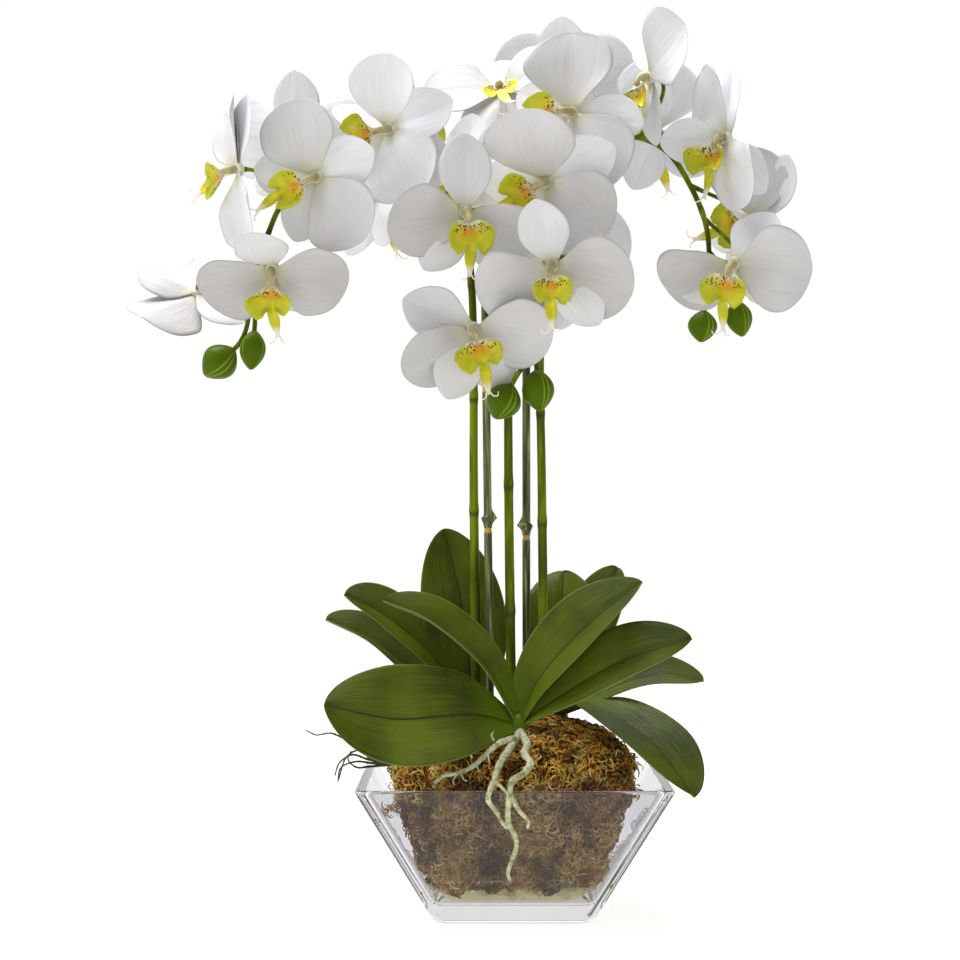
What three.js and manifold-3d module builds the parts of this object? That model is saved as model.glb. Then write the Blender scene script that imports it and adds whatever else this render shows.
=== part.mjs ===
// Moth orchid arrangement: three arching sprays of white blooms, two support canes and three leafy
// crowns with roots, planted in moss in a square flared glass vase.
// Millimetres, Z up, front towards -Y, origin on the vase's foot under its centre.

import * as THREE from 'three';
import { mergeVertices } from 'three/addons/utils/BufferGeometryUtils.js';
import Module from 'manifold-3d';

const wasm = await Module();
wasm.setup();

// Driving dimensions
const CLEARANCE = 0.3;          // gap left between pieces that touch
const VASE_HEIGHT = 92;
const VASE_RIM_HALF = 102;      // half of the square rim, outside
const VASE_FOOT_HALF = 51;      // half of the square foot, outside
const VASE_FOOT_ROUND = 4;      // rounding under the foot's edge
const VASE_RIM_ROUND = 2;       // rounding over the rim
const VASE_WALL = 5.8;          // wall, measured level
const VASE_FLOOR = 12;          // thick glass foot
const VASE_CORNER = 5;          // corner radius
const MOSS_TOP = 128;
const MOSS_LUMP = 2.2;          // height of the moss's lumps
const PLANT_DEPTH = 34;         // how deep stems and crowns stand in the moss
const PETAL_LENGTH = 52;
const PETAL_HALF = 28;
const DORSAL_LENGTH = 47;
const DORSAL_HALF = 17;
const SEPAL_LENGTH = 45;
const SEPAL_HALF = 15.5;
const TEPAL_THICKNESS = 0.8;
const LIP_THICKNESS = 0.9;
const HUB_RADIUS = 5;           // the knob that carries a bloom's five tepals
const HUB_BACK = 4;             // its flat back, behind the bloom's centre
const HUB_FRONT = 2;            // its flat front, under the lip
const LIP_SEAT = HUB_FRONT + CLEARANCE;
const TEPAL_START = 2.5;        // tepals start this far from the bloom's centre, inside the knob
const SPIKE_RADIUS = 3.5;       // flower stem at the moss
const SPIKE_TIP_RADIUS = 1.6;   // flower stem at its last bud
const PEDICEL_RADIUS = 1.3;     // stalk of one bloom
const CANE_RADIUS = 2.7;
const CANE_KNOT = 4.3;          // radius of a cane's knots
const LEAF_THICKNESS = 1.6;
const CROWN_RADIUS = 8;

// Colours: white silk, yellow lips, green stems, dark canes, satin leaves, moss, roots, glass
const WHITE = new THREE.MeshStandardMaterial({ color: 0xf4f3f1, roughness: 0.75, metalness: 0 });
const YELLOW = new THREE.MeshStandardMaterial({ color: 0xe6d838, roughness: 0.6, metalness: 0 });
const STEM = new THREE.MeshStandardMaterial({ color: 0x5d8128, roughness: 0.5, metalness: 0 });
const CANE = new THREE.MeshStandardMaterial({ color: 0x2c3a1c, roughness: 0.5, metalness: 0 });
const LEAF = new THREE.MeshStandardMaterial({ color: 0x2f4f1a, roughness: 0.35, metalness: 0 });
const MOSS = new THREE.MeshStandardMaterial({ color: 0x7c5524, roughness: 0.95, metalness: 0 });
const ROOT = new THREE.MeshStandardMaterial({ color: 0xb9bf8a, roughness: 0.8, metalness: 0 });
const GLASS = new THREE.MeshStandardMaterial({ color: 0xe4e8ea, roughness: 0.05, metalness: 0 });

const RAD = Math.PI / 180;
const group = new THREE.Group();
const at = (x, y, z) => new THREE.Vector3(x, y, z);

// A repeatable number from -1 to 1 for item a, its part b and the use c.
function vary(a, b, c) {
  const wave = Math.sin(a * 12.9898 + b * 78.233 + c * 37.719) * 43758.5453;
  return 2 * (wave - Math.floor(wave)) - 1;
}

// Geometry from a list of points and a list of triangles.
function geometryOf(points, triangles) {
  const geometry = new THREE.BufferGeometry().setFromPoints(points);
  geometry.setIndex(triangles);
  return geometry;
}

// A closed geometry as a solid that can be joined or cut.
function solid(geometry) {
  const bare = geometry.clone();
  bare.deleteAttribute('normal');
  bare.deleteAttribute('uv');
  const merged = mergeVertices(bare, 1e-4);
  return new wasm.Manifold(new wasm.Mesh({
    numProp: 3,
    vertProperties: new Float32Array(merged.attributes.position.array),
    triVerts: new Uint32Array(merged.index.array),
  }));
}

// One named mesh from a solid.
function addNode(name, body, material) {
  const mesh = body.simplify(0.08).getMesh();
  const geometry = new THREE.BufferGeometry();
  geometry.setAttribute('position', new THREE.BufferAttribute(mesh.vertProperties, 3));
  geometry.setIndex(new THREE.BufferAttribute(mesh.triVerts, 1));
  geometry.computeVertexNormals();
  const node = new THREE.Mesh(geometry, material);
  node.name = name;
  group.add(node);
}

const joined = (bodies) => bodies.reduce((sum, body) => sum.add(body));

// A closed skin over rings with equal numbers of points, listed from one end to the other; the
// rings turn anticlockwise seen from the far end, and each end is closed by a fan.
function skin(rings) {
  const count = rings[0].length;
  const points = rings.flat();
  const triangles = [];
  for (let r = 0; r < rings.length - 1; r++) {
    for (let k = 0; k < count; k++) {
      const a = r * count + k;
      const b = r * count + (k + 1) % count;
      triangles.push(a, b, b + count, a, b + count, a + count);
    }
  }
  const middle = (ring) => ring.reduce((sum, p) => sum.add(p), at(0, 0, 0)).divideScalar(count);
  const first = points.push(middle(rings[0])) - 1;
  const last = points.push(middle(rings[rings.length - 1])) - 1;
  const top = (rings.length - 1) * count;
  for (let k = 0; k < count; k++) {
    const next = (k + 1) % count;
    triangles.push(first, next, k, last, top + k, top + next);
  }
  return solid(geometryOf(points, triangles));
}

// A tube along a curve, its radius given by a function of the share of the way along.
function tube(curve, steps, sides, radiusAt) {
  const frames = curve.computeFrenetFrames(steps, false);
  const rings = [];
  for (let i = 0; i <= steps; i++) {
    const centre = curve.getPointAt(i / steps);
    const radius = radiusAt(i / steps);
    const ring = [];
    for (let k = 0; k < sides; k++) {
      const turn = 2 * Math.PI * k / sides;
      ring.push(centre.clone()
        .addScaledVector(frames.normals[i], radius * Math.cos(turn))
        .addScaledVector(frames.binormals[i], radius * Math.sin(turn)));
    }
    rings.push(ring);
  }
  return skin(rings);
}

// A smooth curve through points given as [x, y, z].
const through = (points) => new THREE.CatmullRomCurve3(points.map((p) => at(...p)), false, 'catmullrom');

// Stations along a blade, evenly spread or closer together towards the tip; the tip itself is added.
const evenly = (rows) => Array.from({ length: rows }, (_, i) => i / rows);
const towardsTip = (rows) => evenly(rows).map((share) => Math.sin(Math.PI / 2 * share));

// A thin closed blade: surface(u, v) gives a point of its upper side, u from base to tip and v from
// -1 to 1 across, and the under side lies one thickness below it along the surface's normal.
function blade(surface, stations, columns, thickness) {
  const step = 1e-3;
  const rows = stations.length;
  const points = [];
  const add = (u, v) => {
    const p = surface(u, v);
    const inner = Math.min(u, 1 - 2 * step);
    const along = surface(inner + step, v).sub(surface(inner - step, v));
    const across = surface(Math.min(u, 0.97), v + step).sub(surface(Math.min(u, 0.97), v - step));
    points.push(p, p.clone().addScaledVector(along.cross(across).normalize(), -thickness));
  };
  const width = columns + 1;
  for (const u of stations) {
    for (let j = 0; j < width; j++) add(u, 2 * j / columns - 1);
  }
  add(1, 0);
  const upper = (i, j) => 2 * (i < rows ? i * width + j : rows * width);
  const lower = (i, j) => upper(i, j) + 1;
  const triangles = [];
  for (let i = 0; i < rows; i++) {
    for (let j = 0; j < columns; j++) {
      triangles.push(upper(i, j), upper(i + 1, j + 1), upper(i, j + 1));
      triangles.push(lower(i, j), lower(i, j + 1), lower(i + 1, j + 1));
      if (i === rows - 1) continue;
      triangles.push(upper(i, j), upper(i + 1, j), upper(i + 1, j + 1));
      triangles.push(lower(i, j), lower(i + 1, j + 1), lower(i + 1, j));
    }
  }
  for (let i = 0; i < rows; i++) {
    triangles.push(upper(i, 0), lower(i, 0), lower(i + 1, 0));
    triangles.push(upper(i, 0), lower(i + 1, 0), upper(i + 1, 0));
    triangles.push(upper(i, columns), lower(i + 1, columns), lower(i, columns));
    triangles.push(upper(i, columns), upper(i + 1, columns), lower(i + 1, columns));
  }
  for (let j = 0; j < columns; j++) {
    triangles.push(upper(0, j), lower(0, j + 1), lower(0, j));
    triangles.push(upper(0, j), upper(0, j + 1), lower(0, j + 1));
  }
  return solid(geometryOf(points, triangles));
}

// Half-width of a blade at u, as a share of its widest: it grows from the claw to its widest place,
// then closes in an arc to the tip; a low bluntness rounds the tip, a high one points it.
function outline(u, claw, widest, bluntness) {
  if (u <= widest) {
    const grown = Math.sin(Math.PI / 2 * Math.max(u, 0) / widest);
    return claw + (1 - claw) * Math.pow(grown, 1.2);
  }
  return Math.pow(Math.max(1 - Math.pow((u - widest) / (1 - widest), 2), 0), bluntness);
}

// Vase: square rings from the foot up the outside, over the rim and down the inside to the floor
function squareRing(half, z) {
  const flat = half - VASE_CORNER;
  const ring = [];
  for (const [sx, sy, start] of [[1, 1, 0], [-1, 1, 90], [-1, -1, 180], [1, -1, 270]]) {
    for (let k = 0; k <= 3; k++) {
      const turn = (start + 30 * k) * RAD;
      ring.push(at(sx * flat + VASE_CORNER * Math.cos(turn), sy * flat + VASE_CORNER * Math.sin(turn), z));
    }
  }
  return ring;
}
const vaseHalf = (z) => VASE_FOOT_HALF + (VASE_RIM_HALF - VASE_FOOT_HALF) * z / VASE_HEIGHT;
const vaseInside = (z) => vaseHalf(z) - VASE_WALL;
addNode('vase', skin([
  squareRing(VASE_FOOT_HALF - VASE_FOOT_ROUND, 0),
  squareRing(VASE_FOOT_HALF - 0.3 * VASE_FOOT_ROUND, 0.3 * VASE_FOOT_ROUND),
  squareRing(vaseHalf(VASE_FOOT_ROUND), VASE_FOOT_ROUND),
  squareRing(VASE_RIM_HALF - 1, VASE_HEIGHT - VASE_RIM_ROUND),
  squareRing(VASE_RIM_HALF - 1.4, VASE_HEIGHT),
  squareRing(VASE_RIM_HALF - VASE_WALL + 0.6, VASE_HEIGHT),
  squareRing(vaseInside(VASE_HEIGHT - VASE_RIM_ROUND), VASE_HEIGHT - VASE_RIM_ROUND),
  squareRing(vaseInside(VASE_FLOOR + 2), VASE_FLOOR + 2),
  squareRing(vaseInside(VASE_FLOOR) - 2, VASE_FLOOR),
]), GLASS);

// Moss: a lumpy plug, nearly square where it meets the glass and round on top
const MOSS_PROFILE = [
  [VASE_FLOOR + CLEARANCE, 44], [18, 50], [30, 56], [48, 62], [68, 69], [88, 75],
  [100, 76], [110, 70], [118, 58], [124, 42], [MOSS_TOP - 1, 22],
];
const mossRing = ([z, half]) => {
  const squareness = z < 100 ? 5 : 5 - 2.5 * (z - 100) / (MOSS_TOP - 100);
  const ring = [];
  for (let k = 0; k < 20; k++) {
    const turn = 2 * Math.PI * k / 20;
    const c = Math.abs(Math.cos(turn));
    const s = Math.abs(Math.sin(turn));
    const reach = half / Math.pow(Math.pow(c, squareness) + Math.pow(s, squareness), 1 / squareness);
    const lump = MOSS_LUMP * Math.sin(7 * turn + z / 9) * Math.sin(3 * turn - z / 7);
    ring.push(at((reach + lump) * Math.cos(turn), (reach + lump) * Math.sin(turn), z));
  }
  return ring;
};

// Where stems and crowns stand in the moss: place and radius
const PLACES = {
  spikeLeft: [-24, 8, SPIKE_RADIUS],
  spikeCentre: [-1, -6, SPIKE_RADIUS],
  spikeRight: [21, 0, SPIKE_RADIUS],
  caneLeft: [-15, -3, CANE_RADIUS],
  caneRight: [9, 7, CANE_RADIUS],
  crownFront: [3, -42, CROWN_RADIUS],
  crownLeft: [-31, 25, CROWN_RADIUS],
  crownRight: [31, 23, CROWN_RADIUS],
};
const plantedFrom = MOSS_TOP - PLANT_DEPTH;
const upright = (x, y, from, to) => new THREE.LineCurve3(at(x, y, from), at(x, y, to));
const mossHoles = Object.values(PLACES).map(([x, y, radius]) =>
  tube(upright(x, y, plantedFrom - CLEARANCE, MOSS_TOP + 20), 1, 8,
    () => (radius + CLEARANCE) / Math.cos(Math.PI / 8)));
addNode('moss', skin(MOSS_PROFILE.map(mossRing)).subtract(joined(mossHoles)), MOSS);

// Leafy crowns: a short stump with strap leaves. Each leaf has a midrib through three points, the
// way its upper side looks, its half-width and the height of its folded edges.
const CROWNS = {
  crown_front: {
    place: PLACES.crownFront,
    leaves: [
      { rib: [[-28, -66, 137], [-75, -86, 136], [-119, -98, 146]],
        looks: [0.05, -0.85, 0.55], half: 36, fold: 0.1 },
      { rib: [[-16, -44, 165], [-50, -46, 194], [-84, -50, 209]],
        looks: [0.3, -0.45, 0.85], half: 18, fold: 0.35 },
      { rib: [[16, -42, 158], [46, -46, 192], [82, -50, 221]],
        looks: [-0.45, -0.6, 0.6], half: 24, fold: 0.25 },
      { rib: [[30, -54, 148], [70, -66, 172], [112, -74, 186]],
        looks: [-0.2, -0.7, 0.7], half: 22, fold: 0.25 },
    ],
  },
  crown_left: {
    place: PLACES.crownLeft,
    leaves: [
      { rib: [[-29, 26, 160], [-35, 28, 205], [-46, 34, 253]],
        looks: [0.1, -1, 0.1], half: 28, fold: 0.2 },
      { rib: [[-50, 14, 165], [-82, 2, 195], [-111, -10, 211]],
        looks: [0.1, -0.6, 0.8], half: 20, fold: 0.25 },
      { rib: [[-60, 20, 152], [-92, 12, 179], [-124, 4, 194]],
        looks: [0.1, -0.4, 0.9], half: 22, fold: 0.25 },
      { rib: [[-50, 50, 150], [-70, 85, 168], [-88, 118, 172]],
        looks: [0.3, -0.3, 0.9], half: 26, fold: 0.2 },
    ],
  },
  crown_right: {
    place: PLACES.crownRight,
    leaves: [
      { rib: [[55, 15, 143], [90, 2, 156], [126, -5, 154]],
        looks: [0.1, -0.5, 0.85], half: 20, fold: 0.2 },
      { rib: [[30, 34, 160], [33, 46, 196], [36, 62, 224]],
        looks: [0, -0.9, 0.4], half: 25, fold: 0.2 },
      { rib: [[44, 38, 160], [58, 46, 195], [72, 52, 227]],
        looks: [-0.3, -0.6, 0.7], half: 22, fold: 0.2 },
      { rib: [[50, 56, 148], [78, 88, 162], [98, 112, 160]],
        looks: [0.2, -0.2, 0.95], half: 25, fold: 0.2 },
      { rib: [[52, -12, 139], [88, -62, 119], [112, -99, 89]],
        looks: [0.3, -0.5, 0.8], half: 26, fold: 0.15 },
    ],
  },
};
function leaf([x, y], { rib, looks, half, fold }) {
  const curve = through([[x, y, MOSS_TOP + 1], ...rib]);
  const face = at(...looks).normalize();
  return blade((u, v) => {
    const share = Math.min(Math.max(u, 0), 1);
    const across = face.clone().cross(curve.getTangent(share)).normalize();
    const reach = v * half * outline(u, 0.2, 0.6, 0.62);
    const middle = curve.getPoint(share);
    return middle.addScaledVector(across, reach).addScaledVector(face, fold * Math.abs(reach));
  }, towardsTip(7), 2, LEAF_THICKNESS);
}
for (const [name, { place, leaves }] of Object.entries(CROWNS)) {
  const [x, y, radius] = place;
  const stump = tube(upright(x, y, plantedFrom, MOSS_TOP + 7), 1, 8, () => radius);
  addNode(name, joined([stump, ...leaves.map((entry) => leaf(place, entry))]), LEAF);
}

// Support canes: a thin cane with thick knots
const CANES = {
  cane_left: { place: PLACES.caneLeft, lean: [-4, 1], top: 454, knots: [166, 259, 352] },
  cane_right: { place: PLACES.caneRight, lean: [0, 0], top: 372, knots: [150, 254] },
};
for (const [name, { place, lean, top, knots }] of Object.entries(CANES)) {
  const [x, y, radius] = place;
  const levels = [plantedFrom, ...knots.flatMap((z) => [z - 7, z - 2, z + 1, z + 6]), top];
  const rings = levels.map((z) => {
    const reach = knots.some((k) => z === k - 2 || z === k + 1) ? CANE_KNOT : radius;
    const rise = Math.max(0, z - MOSS_TOP) / (top - MOSS_TOP);
    const centre = at(x + lean[0] * rise, y + lean[1] * rise, z);
    return Array.from({ length: 10 }, (_, k) => {
      const turn = 36 * k * RAD;
      return centre.clone().add(at(reach * Math.cos(turn), reach * Math.sin(turn), 0));
    });
  });
  addNode(name, skin(rings), CANE);
}

// Sprays: the flower stem's route, then its blooms and buds. A bloom has its centre, the way it
// faces (0 to the front, positive to the right), its tilt (positive up), its roll (positive
// clockwise from the front), its size and the route point that its stalk leaves from; where its
// tepals are bent by hand, turns, lifts and leans add degrees to the dorsal sepal, the right and left
// petal and the right and left sepal. A bud hangs from its stalk's end at its own lean.
const SPRAYS = {
  left: {
    place: PLACES.spikeLeft,
    route: [
      [-25, 8, 205], [-26, 8, 290], [-26, 8, 370], [-28, 8, 424], [-34, 8, 464],
      [-48, 8, 491], [-70, 9, 504], [-95, 10, 507], [-118, 7, 500], [-138, 2, 487],
      [-153, -3, 468], [-163, -5, 444], [-171, -9, 416], [-174, -11, 394],
    ],
    blooms: [
      { at: [-70, 48, 531], face: [130, 20], roll: 0, size: 1, from: 6, lifts: [0, 0, -35, 0, 0] },
      { at: [-82, -12, 516], face: [-25, -5], roll: 75, size: 1, from: 7, lifts: [0, 18, 0, 14, 0],
        leans: [0, 0, -15, 0, 60] },
      { at: [-147, 58, 517], face: [165, 0], roll: 0, size: 1, from: 8 },
      { at: [-128, -40, 481], face: [-22, -8], roll: 66, size: 1, from: 9 },
      { at: [-180, -25, 488], face: [-68, -5], roll: 75, size: 1, from: 10, turns: [60, -12, 18, 27, -40] },
      { at: [-156, -42, 421], face: [-4, -35], roll: 0, size: 1, from: 11, turns: [10, -22, 30, 0, 0],
        lifts: [35, 0, 0, 0, 0], leans: [0, 15, -15, 0, 0] },
      { at: [-210, 15, 410], face: [-172, -58], roll: 215, size: 1, from: 12 },
      { at: [-92, 38, 479], face: [140, 0], roll: 0, size: 1, from: 6, turns: [0, 0, 30, 0, 0] },
    ],
    buds: [
      { at: [-193, -12, 363], from: 13, long: 26, radius: 11.5, lean: [9, 0, 8] },
      { at: [-171, -14, 371], from: 12, long: 26, radius: 8.5, lean: [1, 1, 12] },
    ],
  },
  centre: {
    place: PLACES.spikeCentre,
    route: [
      [-2, -6, 205], [-3, -6, 290], [-3, -6, 360], [-1, -6, 420], [7, -4, 466],
      [23, 0, 500], [46, 3, 529], [62, -6, 538], [62, -26, 528], [54, -40, 502],
      [44, -50, 470], [33, -56, 436], [22, -60, 400], [14, -62, 368],
    ],
    blooms: [
      { at: [36, 70, 561], face: [175, 20], roll: 0, size: 1, from: 6 },
      { at: [37, -52, 521], face: [-18, 5], roll: 78, size: 1.08, from: 8, turns: [-25, 10, 0, 0, 0] },
      { at: [20, -66, 475], face: [-20, -10], roll: 62, size: 1.05, from: 9, turns: [0, 10, -8, 0, 0],
        lifts: [10, 0, 28, 0, 0] },
      { at: [-31, -86, 454], face: [13, -5], roll: -2, size: 1, from: 10, turns: [0, -46, 20, 0, 0],
        leans: [0, 40, -40, 0, 0] },
      { at: [23, -104, 418], face: [-10, 0], roll: -3, size: 1, from: 11, turns: [10, -28, 40, 0, 32],
        lifts: [34, 0, 0, 0, -30], leans: [0, 30, -35, 0, 0] },
      { at: [-26, -86, 380], face: [5, -5], roll: -15, size: 1, from: 12, turns: [54, -36, 32, -20, -4],
        leans: [0, 30, -45, 0, 0] },
      { at: [-31, -22, 484], face: [-20, 0], roll: 0, size: 0.95, from: 4 },
      { at: [-8, 20, 546], face: [-15, 45], roll: -18, size: 1, from: 5 },
    ],
    buds: [
      { at: [-7, -78, 335], from: 13, long: 24, radius: 11, lean: [5, 0, 10] },
      { at: [15, -78, 342], from: 13, long: 26, radius: 10, lean: [-1, 0, 12] },
    ],
  },
  right: {
    place: PLACES.spikeRight,
    route: [
      [20, 0, 205], [19, 0, 290], [18, 0, 360], [20, 0, 415], [27, 0, 458],
      [41, 5, 494], [61, 8, 515], [84, 4, 513], [103, -1, 502], [117, -4, 480],
      [126, -6, 458], [129, -8, 436], [127, -8, 411],
    ],
    blooms: [
      { at: [98, 50, 523], face: [-175, 0], roll: 15, size: 1, from: 8, turns: [0, 0, -60, 0, 0] },
      { at: [89, -12, 550], face: [-58, 0], roll: -15, size: 1, from: 7, turns: [0, 5, -50, -50, 0],
        lifts: [-5, 0, -40, 5, 24] },
      { at: [138, -20, 509], face: [-45, 0], roll: 0, size: 1, from: 8, turns: [0, -74, -50, 0, -50],
        lifts: [0, 0, 0, 0, 48], leans: [-30, 20, -30, 0, 0] },
      { at: [162, 5, 457], face: [-40, 0], roll: 75, size: 1, from: 9, turns: [45, 0, 0, 0, 30],
        leans: [0, 0, 36, 0, 0] },
      { at: [141, -50, 424], face: [-28, -12], roll: 10, size: 1, from: 10, turns: [-20, -6, 42, 30, -25],
        lifts: [-45, 0, 0, 0, 0], leans: [0, 0, -40, 0, 0] },
      { at: [29, 42, 440], face: [180, 0], roll: 0, size: 1, from: 4 },
    ],
    buds: [
      { at: [125, -6, 387], from: 12, long: 21, radius: 9.5, lean: [1, 0, 10] },
      { at: [149, -8, 392], from: 11, long: 24, radius: 8.5, lean: [-2, 0, 11] },
    ],
  },
};

// Turn of a bloom: roll about its own axis, then tilt, then facing
function turnOf({ face: [facing, tilt], roll }) {
  return new THREE.Matrix4().makeRotationFromEuler(
    new THREE.Euler(-tilt * RAD, roll * RAD, facing * RAD, 'ZXY'),
  );
}

// One tepal in its bloom's frame, which faces -Y: it leaves the centre at an angle in the XZ plane,
// lifts towards the front, leans about its own length, curls back along it and is cupped across.
function tepalPoint(shape, u, v) {
  const half = shape.half * outline(u, shape.claw, shape.widest, shape.bluntness);
  const bend = (shape.lift - shape.curl * u / 2) * RAD;
  const run = (shape.length - TEPAL_START) * u;
  const along = TEPAL_START + run * Math.cos(bend);
  const lean = shape.lean * Math.min(3 * u, 1) * RAD;
  const across = v * half * Math.cos(lean);
  const rise = run * Math.sin(bend) + v * half * (Math.sin(lean) + shape.cup * v) - shape.set;
  const angle = shape.angle * RAD;
  return at(
    along * Math.cos(angle) - across * Math.sin(angle),
    -rise,
    along * Math.sin(angle) + across * Math.cos(angle),
  );
}

const NONE = [0, 0, 0, 0, 0];

// The five tepals of bloom number n, in order dorsal sepal, right and left petal, right and left sepal
function tepalShapes(n, { size, turns = NONE, lifts = NONE, leans = NONE }) {
  const petal = {
    length: PETAL_LENGTH, half: PETAL_HALF,
    claw: 0.12, widest: 0.55, bluntness: 0.5, set: 0, curl: 24, cup: 0.16,
  };
  const sepal = {
    length: SEPAL_LENGTH, half: SEPAL_HALF,
    claw: 0.25, widest: 0.5, bluntness: 0.68, set: 1.5, curl: 8, cup: 0.04,
  };
  const kinds = [
    { ...sepal, length: DORSAL_LENGTH, half: DORSAL_HALF, angle: 90, lift: 0 },
    { ...petal, angle: 12, lift: 14 },
    { ...petal, angle: 168, lift: 14 },
    { ...sepal, angle: -55, lift: -4 },
    { ...sepal, angle: -125, lift: -4 },
  ];
  return kinds.map((kind, k) => ({
    ...kind,
    length: kind.length * size * (1 + 0.05 * vary(n, k, 1)),
    half: kind.half * size * (1 + 0.06 * vary(n, k, 2)),
    angle: kind.angle + turns[k] + 5 * vary(n, k, 3),
    lift: kind.lift + lifts[k] + 6 * vary(n, k, 4),
    curl: kind.curl + 12 * vary(n, k, 5),
    lean: leans[k] + 5 * vary(n, k, 6),
  }));
}

// A bloom's white part: five tepals on a knob with a flat front and a flat back
function tepals(n, bloom) {
  const axis = new THREE.LineCurve3(at(0, HUB_BACK, 0), at(0, -HUB_FRONT, 0));
  const hub = tube(axis, 1, 6, () => HUB_RADIUS);
  const blades = tepalShapes(n, bloom).map((shape, k) =>
    blade((u, v) => tepalPoint(shape, u, v), towardsTip(k === 1 || k === 2 ? 4 : 3), 2, TEPAL_THICKNESS));
  return joined([hub, ...blades]);
}

// Lip surface in the bloom's frame: from its claw under the column it widens into two raised side
// lobes, narrows, and hangs forward as a tongue.
function lipPoint(u, v) {
  const lobes = 12.5 * Math.exp(-Math.pow((u - 0.59) / 0.15, 2));
  const tongue = 2.6 * Math.exp(-Math.pow((u - 0.92) / 0.12, 2));
  const half = (2.4 + lobes + tongue) * Math.sqrt(Math.max(1 - Math.pow(u, 8), 0));
  const raised = 6 * v * v * Math.exp(-Math.pow((u - 0.55) / 0.2, 2));
  const forward = LIP_SEAT + CLEARANCE + 15 * Math.pow(Math.max(u, 0), 1.5) + raised;
  return at(-v * half, -forward, -2 - 6 * u - 33 * u * u + 0.6 * raised);
}

// A bloom's yellow part: the lip under its stubby column
function lip() {
  const bow = new THREE.QuadraticBezierCurve3(at(0, -LIP_SEAT, 0.5), at(0, -12, 0.5), at(0, -13, -12));
  const column = tube(bow, 2, 5, (share) => 3.2 - 0.5 * share);
  return joined([column, blade(lipPoint, evenly(5), 2, LIP_THICKNESS)]);
}

// A bud around its centre, its stalk's end at the top of its leaning axis, blunt above and pointed below
function bud({ at: centre, long, radius, lean }) {
  const half = at(...lean).setLength(long / 2);
  const axis = new THREE.LineCurve3(at(...centre).add(half), at(...centre).sub(half));
  return tube(axis, 5, 7, (share) => radius * Math.pow(Math.sin(Math.PI * (0.06 + 0.88 * share)), 0.7));
}

let number = 0;
for (const [name, { place, route, blooms, buds }] of Object.entries(SPRAYS)) {
  const [x, y] = place;
  const stem = [tube(through([[x, y, plantedFrom], [x, y, MOSS_TOP], ...route]), 27, 6,
    (share) => SPIKE_RADIUS + (SPIKE_TIP_RADIUS - SPIKE_RADIUS) * share)];
  blooms.forEach((bloom, index) => {
    number += 1;
    const turn = turnOf(bloom);
    const centre = at(...bloom.at);
    const back = at(0, 1, 0).transformDirection(turn);
    const seat = centre.clone().addScaledVector(back, HUB_BACK + CLEARANCE);
    const start = at(...route[bloom.from]);
    const bow = seat.clone().addScaledVector(back, 0.5 * seat.distanceTo(start));
    stem.push(tube(new THREE.QuadraticBezierCurve3(start, bow, seat), 4, 4, () => PEDICEL_RADIUS));
    const pose = turn.clone().setPosition(centre);
    addNode(`${name}_bloom_${index + 1}`, tepals(number, bloom).transform(pose.elements), WHITE);
    addNode(`${name}_bloom_${index + 1}_lip`, lip().transform(pose.elements), YELLOW);
  });
  for (const entry of buds) {
    const start = at(...route[entry.from]);
    const end = at(...entry.lean).setLength(entry.long * 0.45).add(at(...entry.at));
    const bow = at(...entry.lean).setLength(start.distanceTo(end) / 2).add(end);
    stem.push(tube(new THREE.QuadraticBezierCurve3(start, bow, end), 4, 5, () => PEDICEL_RADIUS + 0.3));
    stem.push(bud(entry));
  }
  addNode(`spike_${name}`, joined(stem), STEM);
}

// Roots: pale aerial roots that leave the front crown, cross the moss and hang over the rim down the
// outside of the glass, where a route gives only X and Z, and a wiry tuft at the left
const ROOT_START = [4, -51.4, 123.8];
const downGlass = (points, radius) =>
  points.map(([x, z]) => [x, -(vaseHalf(z) + radius + 2 * CLEARANCE), z]);
const FRONT_ROOTS = [
  { radius: 2.8, over: [[-2, -70, 117], [-7.6, -80, 110], [-11, -90, 104], [-13, -98, 98.5]],
    down: [[-16.5, 90], [-16, 85], [-11.5, 79], [-8.5, 73], [-5, 68]] },
  { radius: 2.7, over: [[8, -70, 118], [6, -78, 113], [10, -86, 108], [5, -93, 102], [-2, -99, 98]],
    down: [[-3.5, 90], [-4.5, 77], [-3.5, 70], [0, 63], [1, 55], [-2, 45], [-4, 38], [-3, 32]] },
  { radius: 2.3, over: [[1, -62, 121.5], [-4, -69, 121], [-10, -74, 119], [-16, -78, 114.5],
    [-22, -81, 109], [-28, -84, 104.5], [-36, -89, 102], [-45, -93, 100.5], [-49.5, -96, 97],
    [-50.5, -99.5, 94.6]], down: [] },
];
const ROOT_FORK = [[-3.5, 90], [-1, 86], [3, 79], [8, 73], [8, 68]];
const ROOT_LINK = [[-13, -98.5, 97.5], [-8.5, -103.5, 95], [-4, -105.3, 90]];
const root = (points, radius) => tube(through(points), Math.round(1.5 * points.length), 4,
  (share) => radius * (1 - 0.55 * share));
addNode('roots_front', joined([
  ...FRONT_ROOTS.map(({ radius, over, down }) =>
    root([ROOT_START, ...over, ...downGlass(down, radius)], radius)),
  root(downGlass(ROOT_FORK, 2), 2),
  root(ROOT_LINK, 1.4),
]), ROOT);
const TUFT_START = [-76.6, -21.1, 100];
const LEFT_ROOTS = [
  [[-92, -26, 108], [-106, -28, 115], [-118, -30, 121], [-128, -30, 120], [-135, -29, 123]],
  [[-94, -30, 104], [-104, -38, 108], [-112, -46, 104], [-115, -50, 96]],
  [[-93, -34, 100], [-101, -48, 101], [-106, -58, 107], [-104, -64, 113]],
];
addNode('roots_left', joined(LEFT_ROOTS.map((route) => root([TUFT_START, ...route], 1.3))), ROOT);

export default group;
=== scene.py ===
"""Moth orchid arrangement in a square flared glass vase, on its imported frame.

Z is up and the front faces -Y. Shapes are worked out in millimetres and go into the meshes in metres.
"""
import math

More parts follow.
